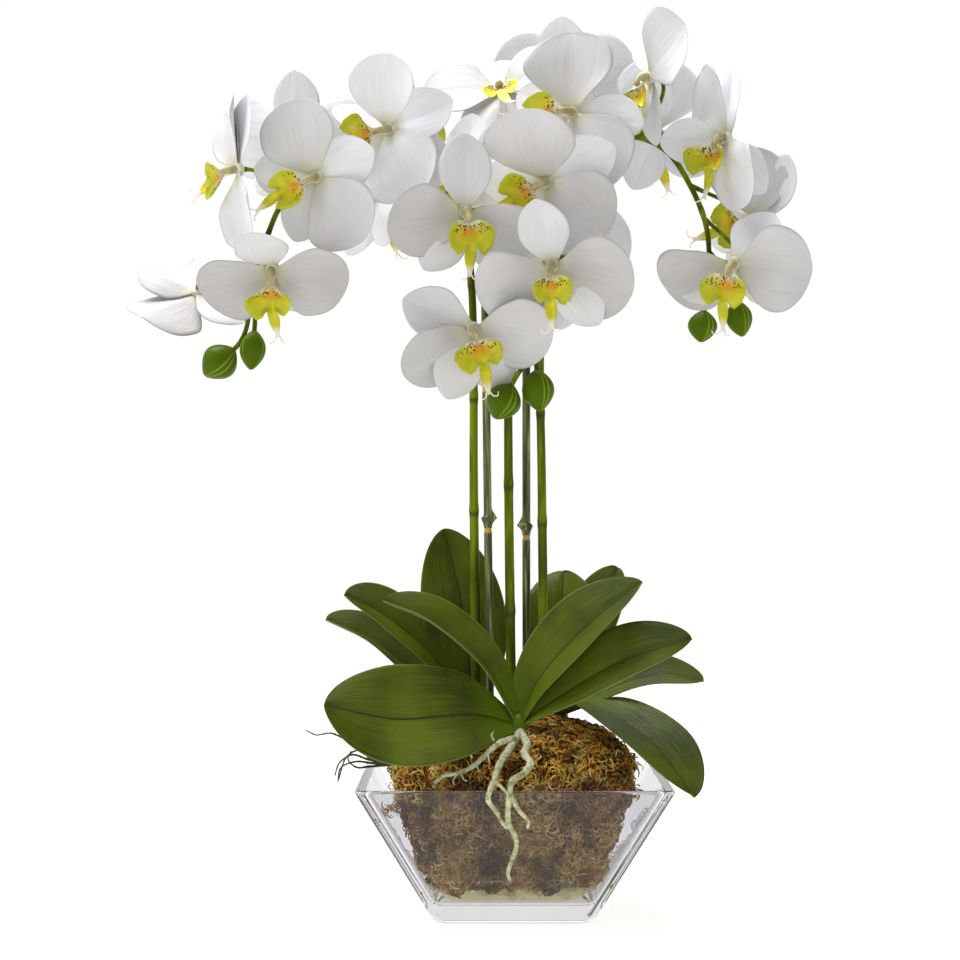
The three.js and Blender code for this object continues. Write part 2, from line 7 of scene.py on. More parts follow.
import bpy
import numpy as np
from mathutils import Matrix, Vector


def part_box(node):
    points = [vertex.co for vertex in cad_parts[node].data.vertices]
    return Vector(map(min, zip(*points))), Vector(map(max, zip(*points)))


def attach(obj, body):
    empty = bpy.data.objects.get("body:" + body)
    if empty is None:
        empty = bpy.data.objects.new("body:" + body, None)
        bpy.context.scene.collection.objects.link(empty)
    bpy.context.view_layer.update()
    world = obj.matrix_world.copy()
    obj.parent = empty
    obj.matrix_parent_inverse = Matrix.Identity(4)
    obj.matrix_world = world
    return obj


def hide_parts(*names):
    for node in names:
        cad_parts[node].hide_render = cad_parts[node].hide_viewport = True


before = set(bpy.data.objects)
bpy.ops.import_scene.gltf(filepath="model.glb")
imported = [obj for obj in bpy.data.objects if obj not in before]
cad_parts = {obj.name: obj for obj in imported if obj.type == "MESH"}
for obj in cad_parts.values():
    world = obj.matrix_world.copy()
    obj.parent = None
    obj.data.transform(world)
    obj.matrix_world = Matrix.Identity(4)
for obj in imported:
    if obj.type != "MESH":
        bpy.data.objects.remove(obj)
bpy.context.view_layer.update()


# Studio: a level camera in front, a white room that curves up from a pale floor, and a broad soft
# lamp high at the front left. The eye stands where the vase's rim and foot show it must have stood.
PIXELS = 960
EYE = (-0.0218, -1.65, 0.2824)
SENSOR = 36.0
LENS = 93.5
EYE_LEVEL_BELOW_MIDDLE = 5      # pixels of the photograph
AIM_HEIGHT = 0.3                # where the lamps point, on the vase's axis
FLOOR_LEVEL_TO = 0.6            # the share of its reach to which the floor stays level
FLOOR_BELOW = 0.2               # millimetres of air under the vase's foot

eye = bpy.data.objects.new("camera", bpy.data.cameras.new("camera"))
eye.data.sensor_width = SENSOR
eye.data.lens = LENS
eye.data.shift_y = EYE_LEVEL_BELOW_MIDDLE / PIXELS
eye.location = EYE
eye.rotation_euler = (math.pi / 2, 0, 0)
bpy.context.collection.objects.link(eye)
bpy.context.scene.camera = eye
bpy.context.scene.view_settings.view_transform = "Standard"


def soft_lamp(name, place, width, watts, colour=(1, 1, 1)):
    """A square area lamp at a place, turned towards the middle of the arrangement."""
    lamp = bpy.data.objects.new(name, bpy.data.lights.new(name, "AREA"))
    lamp.data.size = width
    lamp.data.energy = watts
    lamp.data.color = colour
    lamp.location = place
    aim = Vector((0, 0, AIM_HEIGHT)) - lamp.location
    lamp.rotation_euler = aim.to_track_quat("-Z", "Y").to_euler()
    bpy.context.collection.objects.link(lamp)


soft_lamp("overhead lamp", (-0.6, 0.5, 2.8), width=1.9, watts=155, colour=(0.97, 0.965, 1.0))
soft_lamp("left lamp", (-2.6, -1.2, 1.5), width=1.2, watts=16)

room = bpy.data.worlds.new("dim room")
room.use_nodes = True
room.node_tree.nodes["Background"].inputs["Color"].default_value = (0.95, 0.94, 1.0, 1)
room.node_tree.nodes["Background"].inputs["Strength"].default_value = 0.38
bpy.context.scene.world = room


def unit(vectors):
    """Each vector divided by its length."""
    vectors = np.asarray(vectors, float)
    return vectors / (np.linalg.norm(vectors, axis=-1, keepdims=True) + 1e-12)


def around(count):
    """Angles evenly spread over a whole turn."""
    return np.linspace(0, 2 * math.pi, count, endpoint=False)


def bell(value, middle, width, power=2):
    """A bell curve: 1 at the middle, and 1/e at a width from it."""
    return np.exp(-((value - middle) / width) ** power)


def part_of(points, faces, uv=None, tone=0.0):
    """A part of a piece: points, four-cornered faces (a repeated corner makes a triangle), UV and tone."""
    points = np.asarray(points, float).reshape(-1, 3)
    uv = np.zeros((len(points), 2)) if uv is None else np.asarray(uv, float).reshape(-1, 2)
    tone = np.broadcast_to(np.asarray(tone, float).reshape(-1), (len(points),))
    return points, np.asarray(faces, int).reshape(-1, 4), uv, tone


def ring_walls(levels, sides):
    """The points' numbers ring by ring, each point's neighbour, and the faces between the rings."""
    index = np.arange(levels * sides).reshape(levels, sides)
    beside = np.roll(index, -1, axis=1)
    return index, beside, np.stack([index[:-1], beside[:-1], beside[1:], index[1:]], axis=-1).reshape(-1, 4)


def rings_part(rings, tone=0.0, uv=None, closed=True):
    """A skin over rings of equal numbers of points, which turn anticlockwise seen from the last one;
    each end is closed by a fan round the middle of its ring."""
    levels, sides = rings.shape[:2]
    index, beside, walls = ring_walls(levels, sides)
    points = rings.reshape(-1, 3)
    if closed:
        first, last = levels * sides, levels * sides + 1
        start = np.stack([np.full(sides, first), beside[0], index[0], index[0]], axis=-1)
        end = np.stack([np.full(sides, last), index[-1], beside[-1], beside[-1]], axis=-1)
        walls = np.vstack([walls, start, end])
        points = np.vstack([points, rings[0].mean(axis=0), rings[-1].mean(axis=0)])
        if np.ndim(tone):
            tone = np.append(np.asarray(tone).reshape(-1), [np.mean(tone[0]), np.mean(tone[-1])])
    return part_of(points, walls, uv, tone)


def make_piece(name, parts, look, nodes):
    """One smooth mesh from parts, in metres, that rides on the arrangement and stands for CAD nodes."""
    starts = np.cumsum([0] + [len(part[0]) for part in parts])
    points = np.vstack([part[0] for part in parts]) / 1000
    faces = np.vstack([part[1] + start for part, start in zip(parts, starts)])
    used, corners = np.unique(faces, return_inverse=True)
    faces = corners.reshape(-1, 4)
    points = points[used]
    uv = np.vstack([part[2] for part in parts])[used]
    tone = np.concatenate([part[3] for part in parts])[used]
    kept = faces != np.roll(faces, 1, axis=1)
    loops = faces[kept]
    counts = kept.sum(axis=1)

    mesh = bpy.data.meshes.new(name)
    mesh.vertices.add(len(points))
    mesh.vertices.foreach_set("co", points.ravel())
    mesh.loops.add(len(loops))
    mesh.loops.foreach_set("vertex_index", loops.astype(np.int32))
    mesh.polygons.add(len(counts))
    mesh.polygons.foreach_set("loop_start", np.append(0, np.cumsum(counts)[:-1]).astype(np.int32))
    mesh.update(calc_edges=True)
    mesh.uv_layers.new(name="pattern").data.foreach_set("uv", uv[loops].ravel())
    mesh.attributes.new("tone", "FLOAT", "POINT").data.foreach_set("value", tone)
    mesh.shade_smooth()
    mesh.materials.append(look)

    piece = bpy.data.objects.new(name, mesh)
    bpy.context.collection.objects.link(piece)
    if nodes:
        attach(piece, "root")
        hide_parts(*nodes)
    return piece


class Look:
    """A material and short ways to add nodes to it."""

    def __init__(self, name, **constants):
        self.material = bpy.data.materials.new(name)
        self.material.use_nodes = True
        self.tree = self.material.node_tree
        self.surface = self.tree.nodes["Principled BSDF"]
        self.fill(self.surface, {key.replace("_", " "): value for key, value in constants.items()})

    def fill(self, node, inputs):
        """Sets each input of a node, or links it where the value is another node's output."""
        for key, value in inputs.items():
            if isinstance(value, bpy.types.NodeSocket):
                self.tree.links.new(value, node.inputs[key])
            else:
                node.inputs[key].default_value = value

    def node(self, kind, inputs, output=0, **settings):
        """A new node of a kind, and the output named."""
        fresh = self.tree.nodes.new("ShaderNode" + kind)
        for key, value in settings.items():
            setattr(fresh, key, value)
        self.fill(fresh, inputs)
        return fresh.outputs[output]

    def place(self, stretch=(1, 1, 1), source="Object"):
        """Object or UV coordinates, stretched."""
        coordinates = self.node("TexCoord", {}, source)
        return self.node("Mapping", {"Vector": coordinates, "Scale": stretch})

    def noise(self, scale, detail=3.0, where=None):
        """Cloudy noise with a number of grains in a metre, or in one unit of the UV map."""
        where = self.place() if where is None else where
        return self.node("TexNoise", {"Vector": where, "Scale": scale, "Detail": detail}, "Fac")

    def ramp(self, factor, *stops):
        """Colours by factor; each stop is a place from 0 to 1 and a colour."""
        fresh = self.tree.nodes.new("ShaderNodeValToRGB")
        while len(fresh.color_ramp.elements) < len(stops):
            fresh.color_ramp.elements.new(1.0)
        for element, (position, colour) in zip(fresh.color_ramp.elements, stops):
            element.position = position
            element.color = (*colour, 1)
        self.tree.links.new(factor, fresh.inputs[0])
        return fresh.outputs[0]

    def tone(self):
        """The tone that the parts of a piece carry."""
        return self.node("Attribute", {}, "Fac", attribute_name="tone")

    def axis(self, letter, source="UV"):
        """One axis of the UV or Object coordinates."""
        return self.node("SeparateXYZ", {"Vector": self.place(source=source)}, letter)

    def maths(self, operation, first, second=0.0, third=0.0):
        """One sum with up to three values."""
        return self.node("Math", {0: first, 1: second, 2: third}, operation=operation)

    def product(self, first, second):
        """Two values multiplied."""
        return self.maths("MULTIPLY", first, second)

    def blend(self, first, share, second):
        """The first value times a share, plus the second."""
        return self.maths("MULTIPLY_ADD", first, share, second)

    def off_middle(self, value):
        """0 in the middle of an axis from 0 to 1, and 1 at both its ends."""
        return self.maths("ABSOLUTE", self.blend(value, 2.0, -1.0))

    def rise(self, value, low, high, most=1.0):
        """0 below low, most above high and even between them."""
        return self.node("MapRange", {"Value": value, "From Min": low, "From Max": high, "To Max": most},
                         clamp=True)

    def mix(self, factor, first, second, blend_type="MIX"):
        """Two colours mixed by factor."""
        colours = [value if isinstance(value, bpy.types.NodeSocket) else (*value, 1)
                   for value in (first, second)]
        return self.node("Mix", {0: factor, 6: colours[0], 7: colours[1]}, 2,
                         data_type="RGBA", blend_type=blend_type)

    def coats(self, ground, *coats):
        """Colours laid over a ground one after another; each coat is a factor and a colour."""
        for factor, colour in coats:
            ground = self.mix(factor, ground, colour)
        return ground

    def shade(self, factor, ground, colour):
        """A ground multiplied by a colour, by factor."""
        return self.mix(factor, ground, self.mix(1.0, ground, colour, "MULTIPLY"))

    def finish(self, colour, height, depth, strength):
        """Links the colour and a bump of a depth in metres."""
        bump = self.node("Bump", {"Height": height, "Distance": depth, "Strength": strength})
        self.fill(self.surface, {"Base Color": colour, "Normal": bump})
        return self.material


def floor_part(reach, rise):
    """A disc that stays level to a share of its reach and then curves up with the square of the way."""
    out = np.linspace(1, 0.0001, 40)[:, None] * reach
    turn = around(96)[None, :]
    level = FLOOR_LEVEL_TO * reach
    up = rise * np.clip((out - level) / (reach - level), 0, 1) ** 2
    rings = np.stack([out * np.cos(turn), out * np.sin(turn), up + 0 * turn - FLOOR_BELOW], axis=-1)
    return rings_part(rings, closed=False)


floor_look = Look("pale studio paper", Roughness=0.9, Specular_IOR_Level=0.1,
                  Emission_Color=(1.0, 0.985, 0.955, 1), Emission_Strength=0.90)
floor_colour = floor_look.ramp(floor_look.noise(3.0), (0.3, (0.24, 0.24, 0.24)), (0.7, (0.26, 0.26, 0.26)))
floor_look.finish(floor_colour, floor_look.noise(900.0), depth=0.0002, strength=0.1)
floor = make_piece("floor", [floor_part(reach=9000.0, rise=2500.0)], floor_look.material, [])


# Vase: a square flared bowl of clear pressed glass with a thick foot, its edges fire-polished
# round. It is one casting that stands on its flat foot.
vase_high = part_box("vase")[1]
RIM_HALF = 1000 * vase_high[0]
VASE_HEIGHT = 1000 * vase_high[2]
FOOT_HALF = RIM_HALF / 2
WALL = 5.8
FLOOR = 13.6
CORNER = 5.0
BESIDE_CORNER = 0.4
FOOT_EDGE = 8.0         # how far each edge of the profile is cut back for its arc
RIM_EDGE = 2.7
INNER_EDGE = 5.0
FLAT = 12.0             # how far the profile runs in over the foot and the floor


def outside_half(z):
    """Half the vase's outside width at a height; it grows evenly from foot to rim."""
    return FOOT_HALF + (RIM_HALF - FOOT_HALF) * z / VASE_HEIGHT


def rounded_line(corners, cuts):
    """A line through corners, each cut back by a distance and rounded by an arc from the one cut to
    the other, with a support point just outside each end of the arc so that the flats stay flat."""
    corners = np.asarray(corners, float)
    line = [corners[0]]
    for before, corner, after, cut in zip(corners, corners[1:], corners[2:], cuts):
        back, on = unit(before - corner), unit(after - corner)
        share = np.linspace(0, 1, 7)[:, None]
        start, end = corner + back * cut, corner + on * cut
        arc = (1 - share) ** 2 * start + 2 * share * (1 - share) * corner + share ** 2 * end
        line += [start + back * 0.3, *arc, end + on * 0.3]
    return np.array([*line, corners[-1]])


def square_ring(half, z):
    """A level square of a half-width with round corners, and support points beside each corner."""
    quarter = np.linspace(0, math.pi / 2, 8)
    x = half - CORNER + CORNER * np.concatenate([[1], np.cos(quarter), [0]])
    y = half - CORNER + CORNER * np.concatenate([[0], np.sin(quarter), [1]])
    x[-1] -= BESIDE_CORNER
    y[0] -= BESIDE_CORNER
    xs = np.concatenate([x, -y, -x, y])
    ys = np.concatenate([y, x, -y, -x])
    return np.stack([xs, ys, np.full(len(xs), z)], axis=-1)


vase_profile = rounded_line(
    [(FOOT_HALF - FLAT, 0), (FOOT_HALF, 0), (RIM_HALF, VASE_HEIGHT), (RIM_HALF - WALL, VASE_HEIGHT),
     (outside_half(FLOOR) - WALL, FLOOR), (outside_half(FLOOR) - WALL - FLAT, FLOOR)],
    [FOOT_EDGE, RIM_EDGE, RIM_EDGE, INNER_EDGE])
# The glass glows faintly warm. This is a painted glow, not a lamp, and it lightens and warms what is seen
# through it.
glass = Look("clear pressed glass", Roughness=0.0, IOR=1.25, Transmission_Weight=1.0,
             Emission_Color=(1.0, 0.93, 0.82, 1), Emission_Strength=0.016)
streaks = glass.noise(26.0, 2.0, glass.place((1, 1, 0.35)))
glass_tint = glass.ramp(streaks, (0.25, (0.66, 0.66, 0.69)), (0.8, (0.74, 0.74, 0.765)))
glass_look = glass.finish(glass_tint, streaks, depth=0.0015, strength=0.06)
vase_rings = np.stack([square_ring(half, z) for half, z in vase_profile])
make_piece("vase_glass", [rings_part(vase_rings)], glass_look, ["vase"])


# Moss: dried curly moss packed round a foam block, glued to the vase's floor and heaped over its
# rim. A lumpy plug carries thousands of loose curled strands.
MOSS_LEVELS = [13.9, 18, 30, 48, 68, 88, 100, 110, 118, 124, 127, 128]
MOSS_HALVES = [44, 50, 56, 62, 69, 75, 76, 70, 58, 42, 22, 6]
MOSS_LUMP = 2.2
MOSS_CRUMB = 0.9
MOSS_ROUND_FROM = 100.0
MOSS_TOP = 128.0
MOUND_FROM_LEVEL = 6        # the mound above the rim is the profile from this level up
MOUND_SQUARENESS = 2.8
MOUND_HALF = 77.0
SIDE_STRANDS_FROM = 22.0
SIDE_STRANDS_RISE = 96.0
CLEARANCE = 0.3
random = np.random.default_rng(11)


def moss_surface(turn, z, grow=0.0):
    """The plug's side at an angle and a height: a rounded square, rounder towards the top, with
    lumps from products of sines that run round and up."""
    half = np.interp(z, MOSS_LEVELS, MOSS_HALVES) + grow
    squareness = 5 - 2.5 * np.clip((z - MOSS_ROUND_FROM) / (MOSS_TOP - MOSS_ROUND_FROM), 0, 1)
    spread = np.abs(np.cos(turn)) ** squareness + np.abs(np.sin(turn)) ** squareness
    lump = MOSS_LUMP * np.sin(7 * turn + z / 9) * np.sin(3 * turn - z / 7)
    crumb = MOSS_CRUMB * np.sin(23 * turn + z / 2.3) * np.sin(17 * turn - z / 1.7)
    fade = np.clip((MOSS_TOP - z) / 10, 0, 1)
    reach = half / spread ** (1 / squareness) + (lump + crumb) * fade
    return np.stack([reach * np.cos(turn), reach * np.sin(turn), z + 0 * turn], axis=-1)


def moss_top_height(x, y):
    """Height of the mound at a place, found on the profile from its half-width there."""
    distance = (np.abs(x) ** MOUND_SQUARENESS + np.abs(y) ** MOUND_SQUARENESS) ** (1 / MOUND_SQUARENESS)
    return np.interp(distance, MOSS_HALVES[MOUND_FROM_LEVEL:][::-1], MOSS_LEVELS[MOUND_FROM_LEVEL:][::-1])


def strands_part(roots, out, length, radius, curl, tone):
    """Loose strands that lie on a surface: each starts at a root, turns steadily in the surface's plane
    and lifts off it in a low arch, as a three-sided tube that thins to its ends."""
    count = len(roots)
    stations, sides = 5, 3
    share = np.linspace(0, 1, stations)
    side = unit(np.cross(out, random.normal(size=(count, 3))))
    other = np.cross(out, side)
    heading = curl[:, None] * (share - 0.5) * length[:, None]
    step = (length / (stations - 1))[:, None]
    run = np.cumsum(np.cos(heading) * step, axis=1)
    drift = np.cumsum(np.sin(heading) * step, axis=1)
    lift = (0.15 + 0.3 * random.random(count))[:, None] * length[:, None]
    height = lift * np.sin(math.pi * (0.1 + 0.8 * share)) - 0.12 * length[:, None]
    path = (roots[:, None] + run[..., None] * side[:, None] + drift[..., None] * other[:, None]
            + height[..., None] * out[:, None])
    along = unit(np.gradient(path, axis=1))
    first = unit(np.cross(along, out[:, None] + 0.3 * side[:, None]))
    second = np.cross(along, first)
    thick = radius[:, None] * np.sin(math.pi * (0.12 + 0.76 * share))
    turn = around(sides)
    ring = (first[:, :, None] * np.cos(turn)[:, None] + second[:, :, None] * np.sin(turn)[:, None])
    points = path[:, :, None] + ring * thick[:, :, None, None]
    points[..., 2] = np.maximum(points[..., 2], FLOOR + CLEARANCE)

    index, _, walls = ring_walls(stations, sides)
    ends = np.array([[2, 1, 0, 0], index[-1][[0, 1, 2, 2]]])
    one = np.vstack([walls, ends])
    faces = one + (np.arange(count) * stations * sides)[:, None, None]
    return part_of(points, faces, tone=np.repeat(tone, stations * sides))


moss = Look("dried curly moss", Roughness=0.95, Specular_IOR_Level=0.15)
height_of = moss.axis("Z", "Object")
mixed_tone = moss.blend(moss.tone(), 0.62, moss.product(moss.noise(26.0, 2.0), 0.5))
vivid = moss.ramp(mixed_tone, (0.20, (0.022, 0.009, 0.003)), (0.34, (0.17, 0.060, 0.010)),
                  (0.46, (0.66, 0.26, 0.036)), (0.60, (1.0, 0.58, 0.11)), (0.74, (0.56, 0.42, 0.030)),
                  (0.90, (1.0, 0.88, 0.38)))
# Below the rim the moss takes a paler, less saturated ramp than above it. This is painted haze of the glass
# in front and painted light that makes up for the shade inside the vase.
moss_painted_haze_and_light = moss.ramp(mixed_tone, (0.20, (0.07, 0.035, 0.014)), (0.36, (0.62, 0.30, 0.105)),
                  (0.54, (1.0, 0.72, 0.31)), (0.70, (0.96, 0.66, 0.24)), (0.88, (1.0, 1.0, 0.68)))
olive = moss.mix(moss.rise(moss.noise(13.0, 2.0), 0.50, 0.62), vivid, (0.19, 0.185, 0.016))
moss_painted_haze_and_light = moss.shade(moss.rise(moss.noise(22.0, 2.0), 0.46, 0.60), moss_painted_haze_and_light, (0.92, 0.90, 0.58))
moss_painted_haze_and_light = moss.shade(moss.rise(moss.noise(20.0, 3.0), 0.54, 0.45), moss_painted_haze_and_light, (0.58, 0.45, 0.36))
# On the mound's top, under the leaves and blooms, patches are darkened as painted shade.
painted_summit_shade = moss.product(moss.rise(height_of, 0.106, 0.122), moss.rise(moss.noise(30.0, 2.0), 0.36, 0.60))
vivid = moss.mix(painted_summit_shade, moss.mix(0.50, vivid, olive), moss.mix(1.0, vivid, (0.50, 0.40, 0.36), "MULTIPLY"))
behind_glass = moss.rise(height_of, 0.100, 0.086)
# Dark patches where the moss lies hollow are painted shade between the strands.
hollow_shade = moss.rise(moss.noise(60.0, 3.0), 0.50, 0.38, most=0.78)
glue = moss.rise(moss.blend(moss.noise(75.0, 4.0), 0.034, height_of), 0.0400, 0.0380)
level = moss.blend(moss.noise(60.0, 2.0), 0.0015, height_of)
glint = moss.product(moss.rise(level, 0.0296, 0.0300), moss.rise(level, 0.0312, 0.0308))
glint = moss.product(glint, moss.rise(moss.noise(120.0, 4.0), 0.44, 0.60))
moss_colour = moss.coats(moss.mix(behind_glass, vivid, moss_painted_haze_and_light), (hollow_shade, (0.050, 0.022, 0.008)),
                         (glue, (1.0, 0.98, 0.56)), (glint, (0.95, 0.90, 0.66)))
moss_look = moss.finish(moss_colour, moss.noise(700.0, 4.0), depth=0.0012, strength=0.8)

plug_levels = np.append(np.linspace(MOSS_LEVELS[0], 118, 60), np.linspace(119, MOSS_TOP - 0.1, 16))
plug_turn, plug_z = np.meshgrid(around(200), plug_levels)
make_piece("moss_plug", [rings_part(moss_surface(plug_turn, plug_z, grow=-2.5), tone=0.1)],
           moss_look, ["moss"])


def strand_values(count, lengths, thick):
    """Lengths, radii, curls (radians a millimetre, to either side) and tones of a number of strands."""
    length = random.uniform(*lengths, count)
    radius = random.uniform(*thick, count)
    curl = random.uniform(0.15, 0.55, count) * random.choice([-1, 1], count)
    return length, radius, curl, random.random(count)


def side_moss(count, from_turn, to_turn):
    """Strands over a stretch of the plug's side, inside the glass."""
    turn = random.uniform(from_turn, to_turn, count)
    z = SIDE_STRANDS_FROM + SIDE_STRANDS_RISE * random.random(count) ** 0.85
    roots = moss_surface(turn, z, random.uniform(-2.5, 0.8, count))
    sideways = moss_surface(turn + 0.02, z) - moss_surface(turn - 0.02, z)
    upward = moss_surface(turn, z + 1.5) - moss_surface(turn, z - 1.5)
    out = unit(np.cross(sideways, upward))
    return strands_part(roots, out, *strand_values(count, lengths=(4, 13), thick=(0.25, 0.70)))


def sprig_moss(count, start, end, spread):
    """A loose sprig of dark strands, scattered about the line from start to end, fewer and closer
    together towards its end."""
    share = random.random(count)[:, None] ** 1.5
    scatter = random.normal(size=(count, 3)) * spread * (1 - 0.6 * share)
    roots = np.array(start) + (np.array(end) - start) * share + scatter
    out = unit(random.normal(size=(count, 3)))
    length, radius, curl, tone = strand_values(count, lengths=(3, 8), thick=(0.3, 0.65))
    return strands_part(roots, out, length, radius, curl, 0.45 * tone)


front_moss = side_moss(7100, math.pi, 2 * math.pi)
left_sprig = sprig_moss(90, (-70, -50, 80), (-83, -56, 73), spread=1.6)
right_sprig = sprig_moss(50, (71, -45, 84), (78, -50, 88), spread=1.5)
make_piece("moss_strands_front", [front_moss, left_sprig, right_sprig], moss_look, ["moss"])
make_piece("moss_strands_back", [side_moss(4200, 0, math.pi)], moss_look, ["moss"])


def top_moss(name, count, near_y, far_y):
    """Strands over a stretch of the mound above the rim, from one depth to another."""
    spot = np.column_stack([random.uniform(-80, 80, count * 2), random.uniform(near_y, far_y, count * 2)])
    inside = (np.abs(spot) ** MOUND_SQUARENESS).sum(axis=1) ** (1 / MOUND_SQUARENESS) < MOUND_HALF
    x, y = spot[inside][:count].T
    roots = np.column_stack([x, y, moss_top_height(x, y) + random.uniform(-2.0, 0.8, len(x))])
    slope_x = moss_top_height(x + 2, y) - moss_top_height(x - 2, y)
    slope_y = moss_top_height(x, y + 2) - moss_top_height(x, y - 2)
    out = unit(np.column_stack([-slope_x / 4, -slope_y / 4, np.ones(len(x))]))
    part = strands_part(roots, out, *strand_values(len(x), lengths=(4, 11), thick=(0.4, 0.95)))
    make_piece(name, [part], moss_look, ["moss"])


top_moss("moss_strands_top_front", 6000, -80, 0)
top_moss("moss_strands_top_back", 3600, 0, 80)


# Canes: two thin bamboo-like support rods of moulded plastic, dark olive, with thick knots and an
# amber ring below each; they stand in the moss between the flower stems.
CANE_RADIUS = 2.7
CANE_KNOT = 4.3
CANE_BUD = 2.4
PLANTED_FROM = 94.0
CANES = {
    "cane_left": {"place": (-15, -3), "lean": (-4, 1), "top": 454, "knots": (166, 259, 352), "nub": 0.0},
    "cane_right": {"place": (9, 7), "lean": (0, 0), "top": 372, "knots": (150, 254), "nub": math.pi},
}


def cane_part(place, lean, top, knots, nub):
    """A round rod whose radius swells at each knot into a pebbled cup that is open upwards, with one
    side drawn out into a bud; below the knot a narrow groove marks the joint. Tone is 1 in a band
    about the groove."""
    z = np.unique(np.concatenate([np.linspace(PLANTED_FROM, top, 60)]
                                 + [np.linspace(knot - 10, knot + 10, 41) for knot in knots]))
    z = z[:, None]
    turn = around(20)[None, :]
    offset = z - np.array(knots)
    below, above = bell(offset, 1.5, 3.2), bell(offset, 1.5, 1.1)
    swell = ((CANE_KNOT - CANE_RADIUS) * np.where(offset < 1.5, below, above)).sum(axis=1, keepdims=True)
    groove = bell(offset, -6, 0.9).sum(axis=1, keepdims=True)
    toward = np.maximum(np.cos(turn - nub), 0) ** 6
    bud = CANE_BUD * bell(offset, 3, 3.0).sum(axis=1, keepdims=True) * toward
    radius = CANE_RADIUS + swell - 0.35 * groove + bud
    pebbles = np.sin(6 * turn + 1.3 * z) * np.sin(2 * turn - 2.1 * z)
    radius = radius * (1 + 0.015 * np.sin(5 * turn)) + 0.22 * swell * pebbles
    rise = np.clip((z - MOSS_TOP) / (top - MOSS_TOP), 0, 1)
    x = place[0] + lean[0] * rise + radius * np.cos(turn)
    y = place[1] + lean[1] * rise + radius * np.sin(turn)
    band = bell(offset, -6.6, 1.9, power=4).sum(axis=1, keepdims=True)
    return rings_part(np.stack([x, y, z + 0 * x], axis=-1), tone=band + 0 * radius)


cane = Look("dark moulded cane", Roughness=0.32, Specular_IOR_Level=0.35)
cane_grain = cane.noise(60.0, 4.0, cane.place((6, 6, 0.4)))
cane_ground = cane.ramp(cane_grain, (0.36, (0.016, 0.019, 0.005)), (0.49, (0.062, 0.073, 0.016)),
                        (0.60, (0.16, 0.18, 0.050)), (0.70, (0.36, 0.37, 0.17)))
cane_colour = cane.mix(cane.rise(cane.tone(), 0.35, 0.8), cane_ground, (0.50, 0.31, 0.035))
cane_look = cane.finish(cane_colour, cane_grain, depth=0.0008, strength=0.4)
for name, values in CANES.items():
    make_piece(f"{name}_rod", [cane_part(**values)], cane_look, [name])


# Leafy crowns: three short stumps with strap leaves of printed silk under a satin coat, each folded
# along its midrib and wired. They stand in the moss like the stems.
CROWN_RADIUS = 8.0
CROWN_HEIGHT = 7.0
MARGIN_THICKNESS = 0.35     # how thick leaves, tepals and lips are at their margins, as a share
NOT_YET_TIP = 0.97          # up to here a blade is wide enough to measure its slope across
LEAF_THICKNESS = 1.6
LEAF_CLAW = 0.2
LEAF_WIDEST = 0.6
LEAF_BLUNTNESS = 0.62
RIB_SOFT = 1.2
RIB_GROOVE = 1.6
FOLD_DEEPENED = 1.5         # the fold next to that of the CAD leaves
# Each crown's place, and of each leaf the rib beyond its root, the way it looks, half-width and fold.
CROWNS = {
    "crown_front": ((3, -42), [
        ([[-28, -66, 137], [-75, -86, 136], [-119, -98, 146]], [0.05, -0.85, 0.55], 36, 0.1),
        ([[-16, -44, 165], [-50, -46, 194], [-84, -50, 209]], [0.3, -0.45, 0.85], 18, 0.35),
        ([[16, -42, 158], [46, -46, 192], [82, -50, 221]], [-0.45, -0.6, 0.6], 24, 0.25),
        ([[30, -54, 148], [70, -66, 172], [112, -74, 186]], [-0.2, -0.7, 0.7], 22, 0.25),
    ]),
    "crown_left": ((-31, 25), [
        ([[-29, 26, 160], [-35, 28, 205], [-46, 34, 253]], [0.1, -1, 0.1], 28, 0.2),
        ([[-50, 14, 165], [-82, 2, 195], [-111, -10, 211]], [0.1, -0.6, 0.8], 20, 0.25),
        ([[-60, 20, 152], [-92, 12, 179], [-124, 4, 194]], [0.1, -0.4, 0.9], 22, 0.25),
        ([[-50, 50, 150], [-70, 85, 168], [-88, 118, 172]], [0.3, -0.3, 0.9], 26, 0.2),
    ]),
    "crown_right": ((31, 23), [
        ([[55, 15, 143], [90, 2, 156], [126, -5, 154]], [0.1, -0.5, 0.85], 20, 0.2),
        ([[30, 34, 160], [33, 46, 196], [36, 62, 224]], [0, -0.9, 0.4], 25, 0.2),
        ([[44, 38, 160], [58, 46, 195], [72, 52, 227]], [-0.3, -0.6, 0.7], 22, 0.2),
        ([[50, 56, 148], [78, 88, 162], [98, 112, 160]], [0.2, -0.2, 0.95], 25, 0.2),
        ([[52, -12, 139], [88, -62, 119], [112, -99, 89]], [0.3, -0.5, 0.8], 26, 0.15),
    ]),
}


def vary(a, b, c):
    """A repeatable number from -1 to 1 for item a, its part b and the use c."""
    wave = math.sin(a * 12.9898 + b * 78.233 + c * 37.719) * 43758.5453
    return 2 * (wave - math.floor(wave)) - 1


def smooth_line(knots, share):
    """Places on a curve through knots, at shares of the way with every stretch counted alike: each
    stretch is a cubic whose slope at a knot is half the step between the knot's neighbours."""
    knots = np.asarray(knots, float)
    padded = np.vstack([2 * knots[0] - knots[1], knots, 2 * knots[-1] - knots[-2]])
    where = np.clip(share, 0, 1) * (len(knots) - 1)
    stretch = np.minimum(where.astype(int), len(knots) - 2)
    w = (where - stretch)[..., None]
    before, start, end, after = (padded[stretch + k] for k in range(4))
    leave, arrive = (end - before) / 2, (after - start) / 2
    return (start + leave * w + (3 * (end - start) - 2 * leave - arrive) * w ** 2
            + (2 * (start - end) + leave + arrive) * w ** 3)


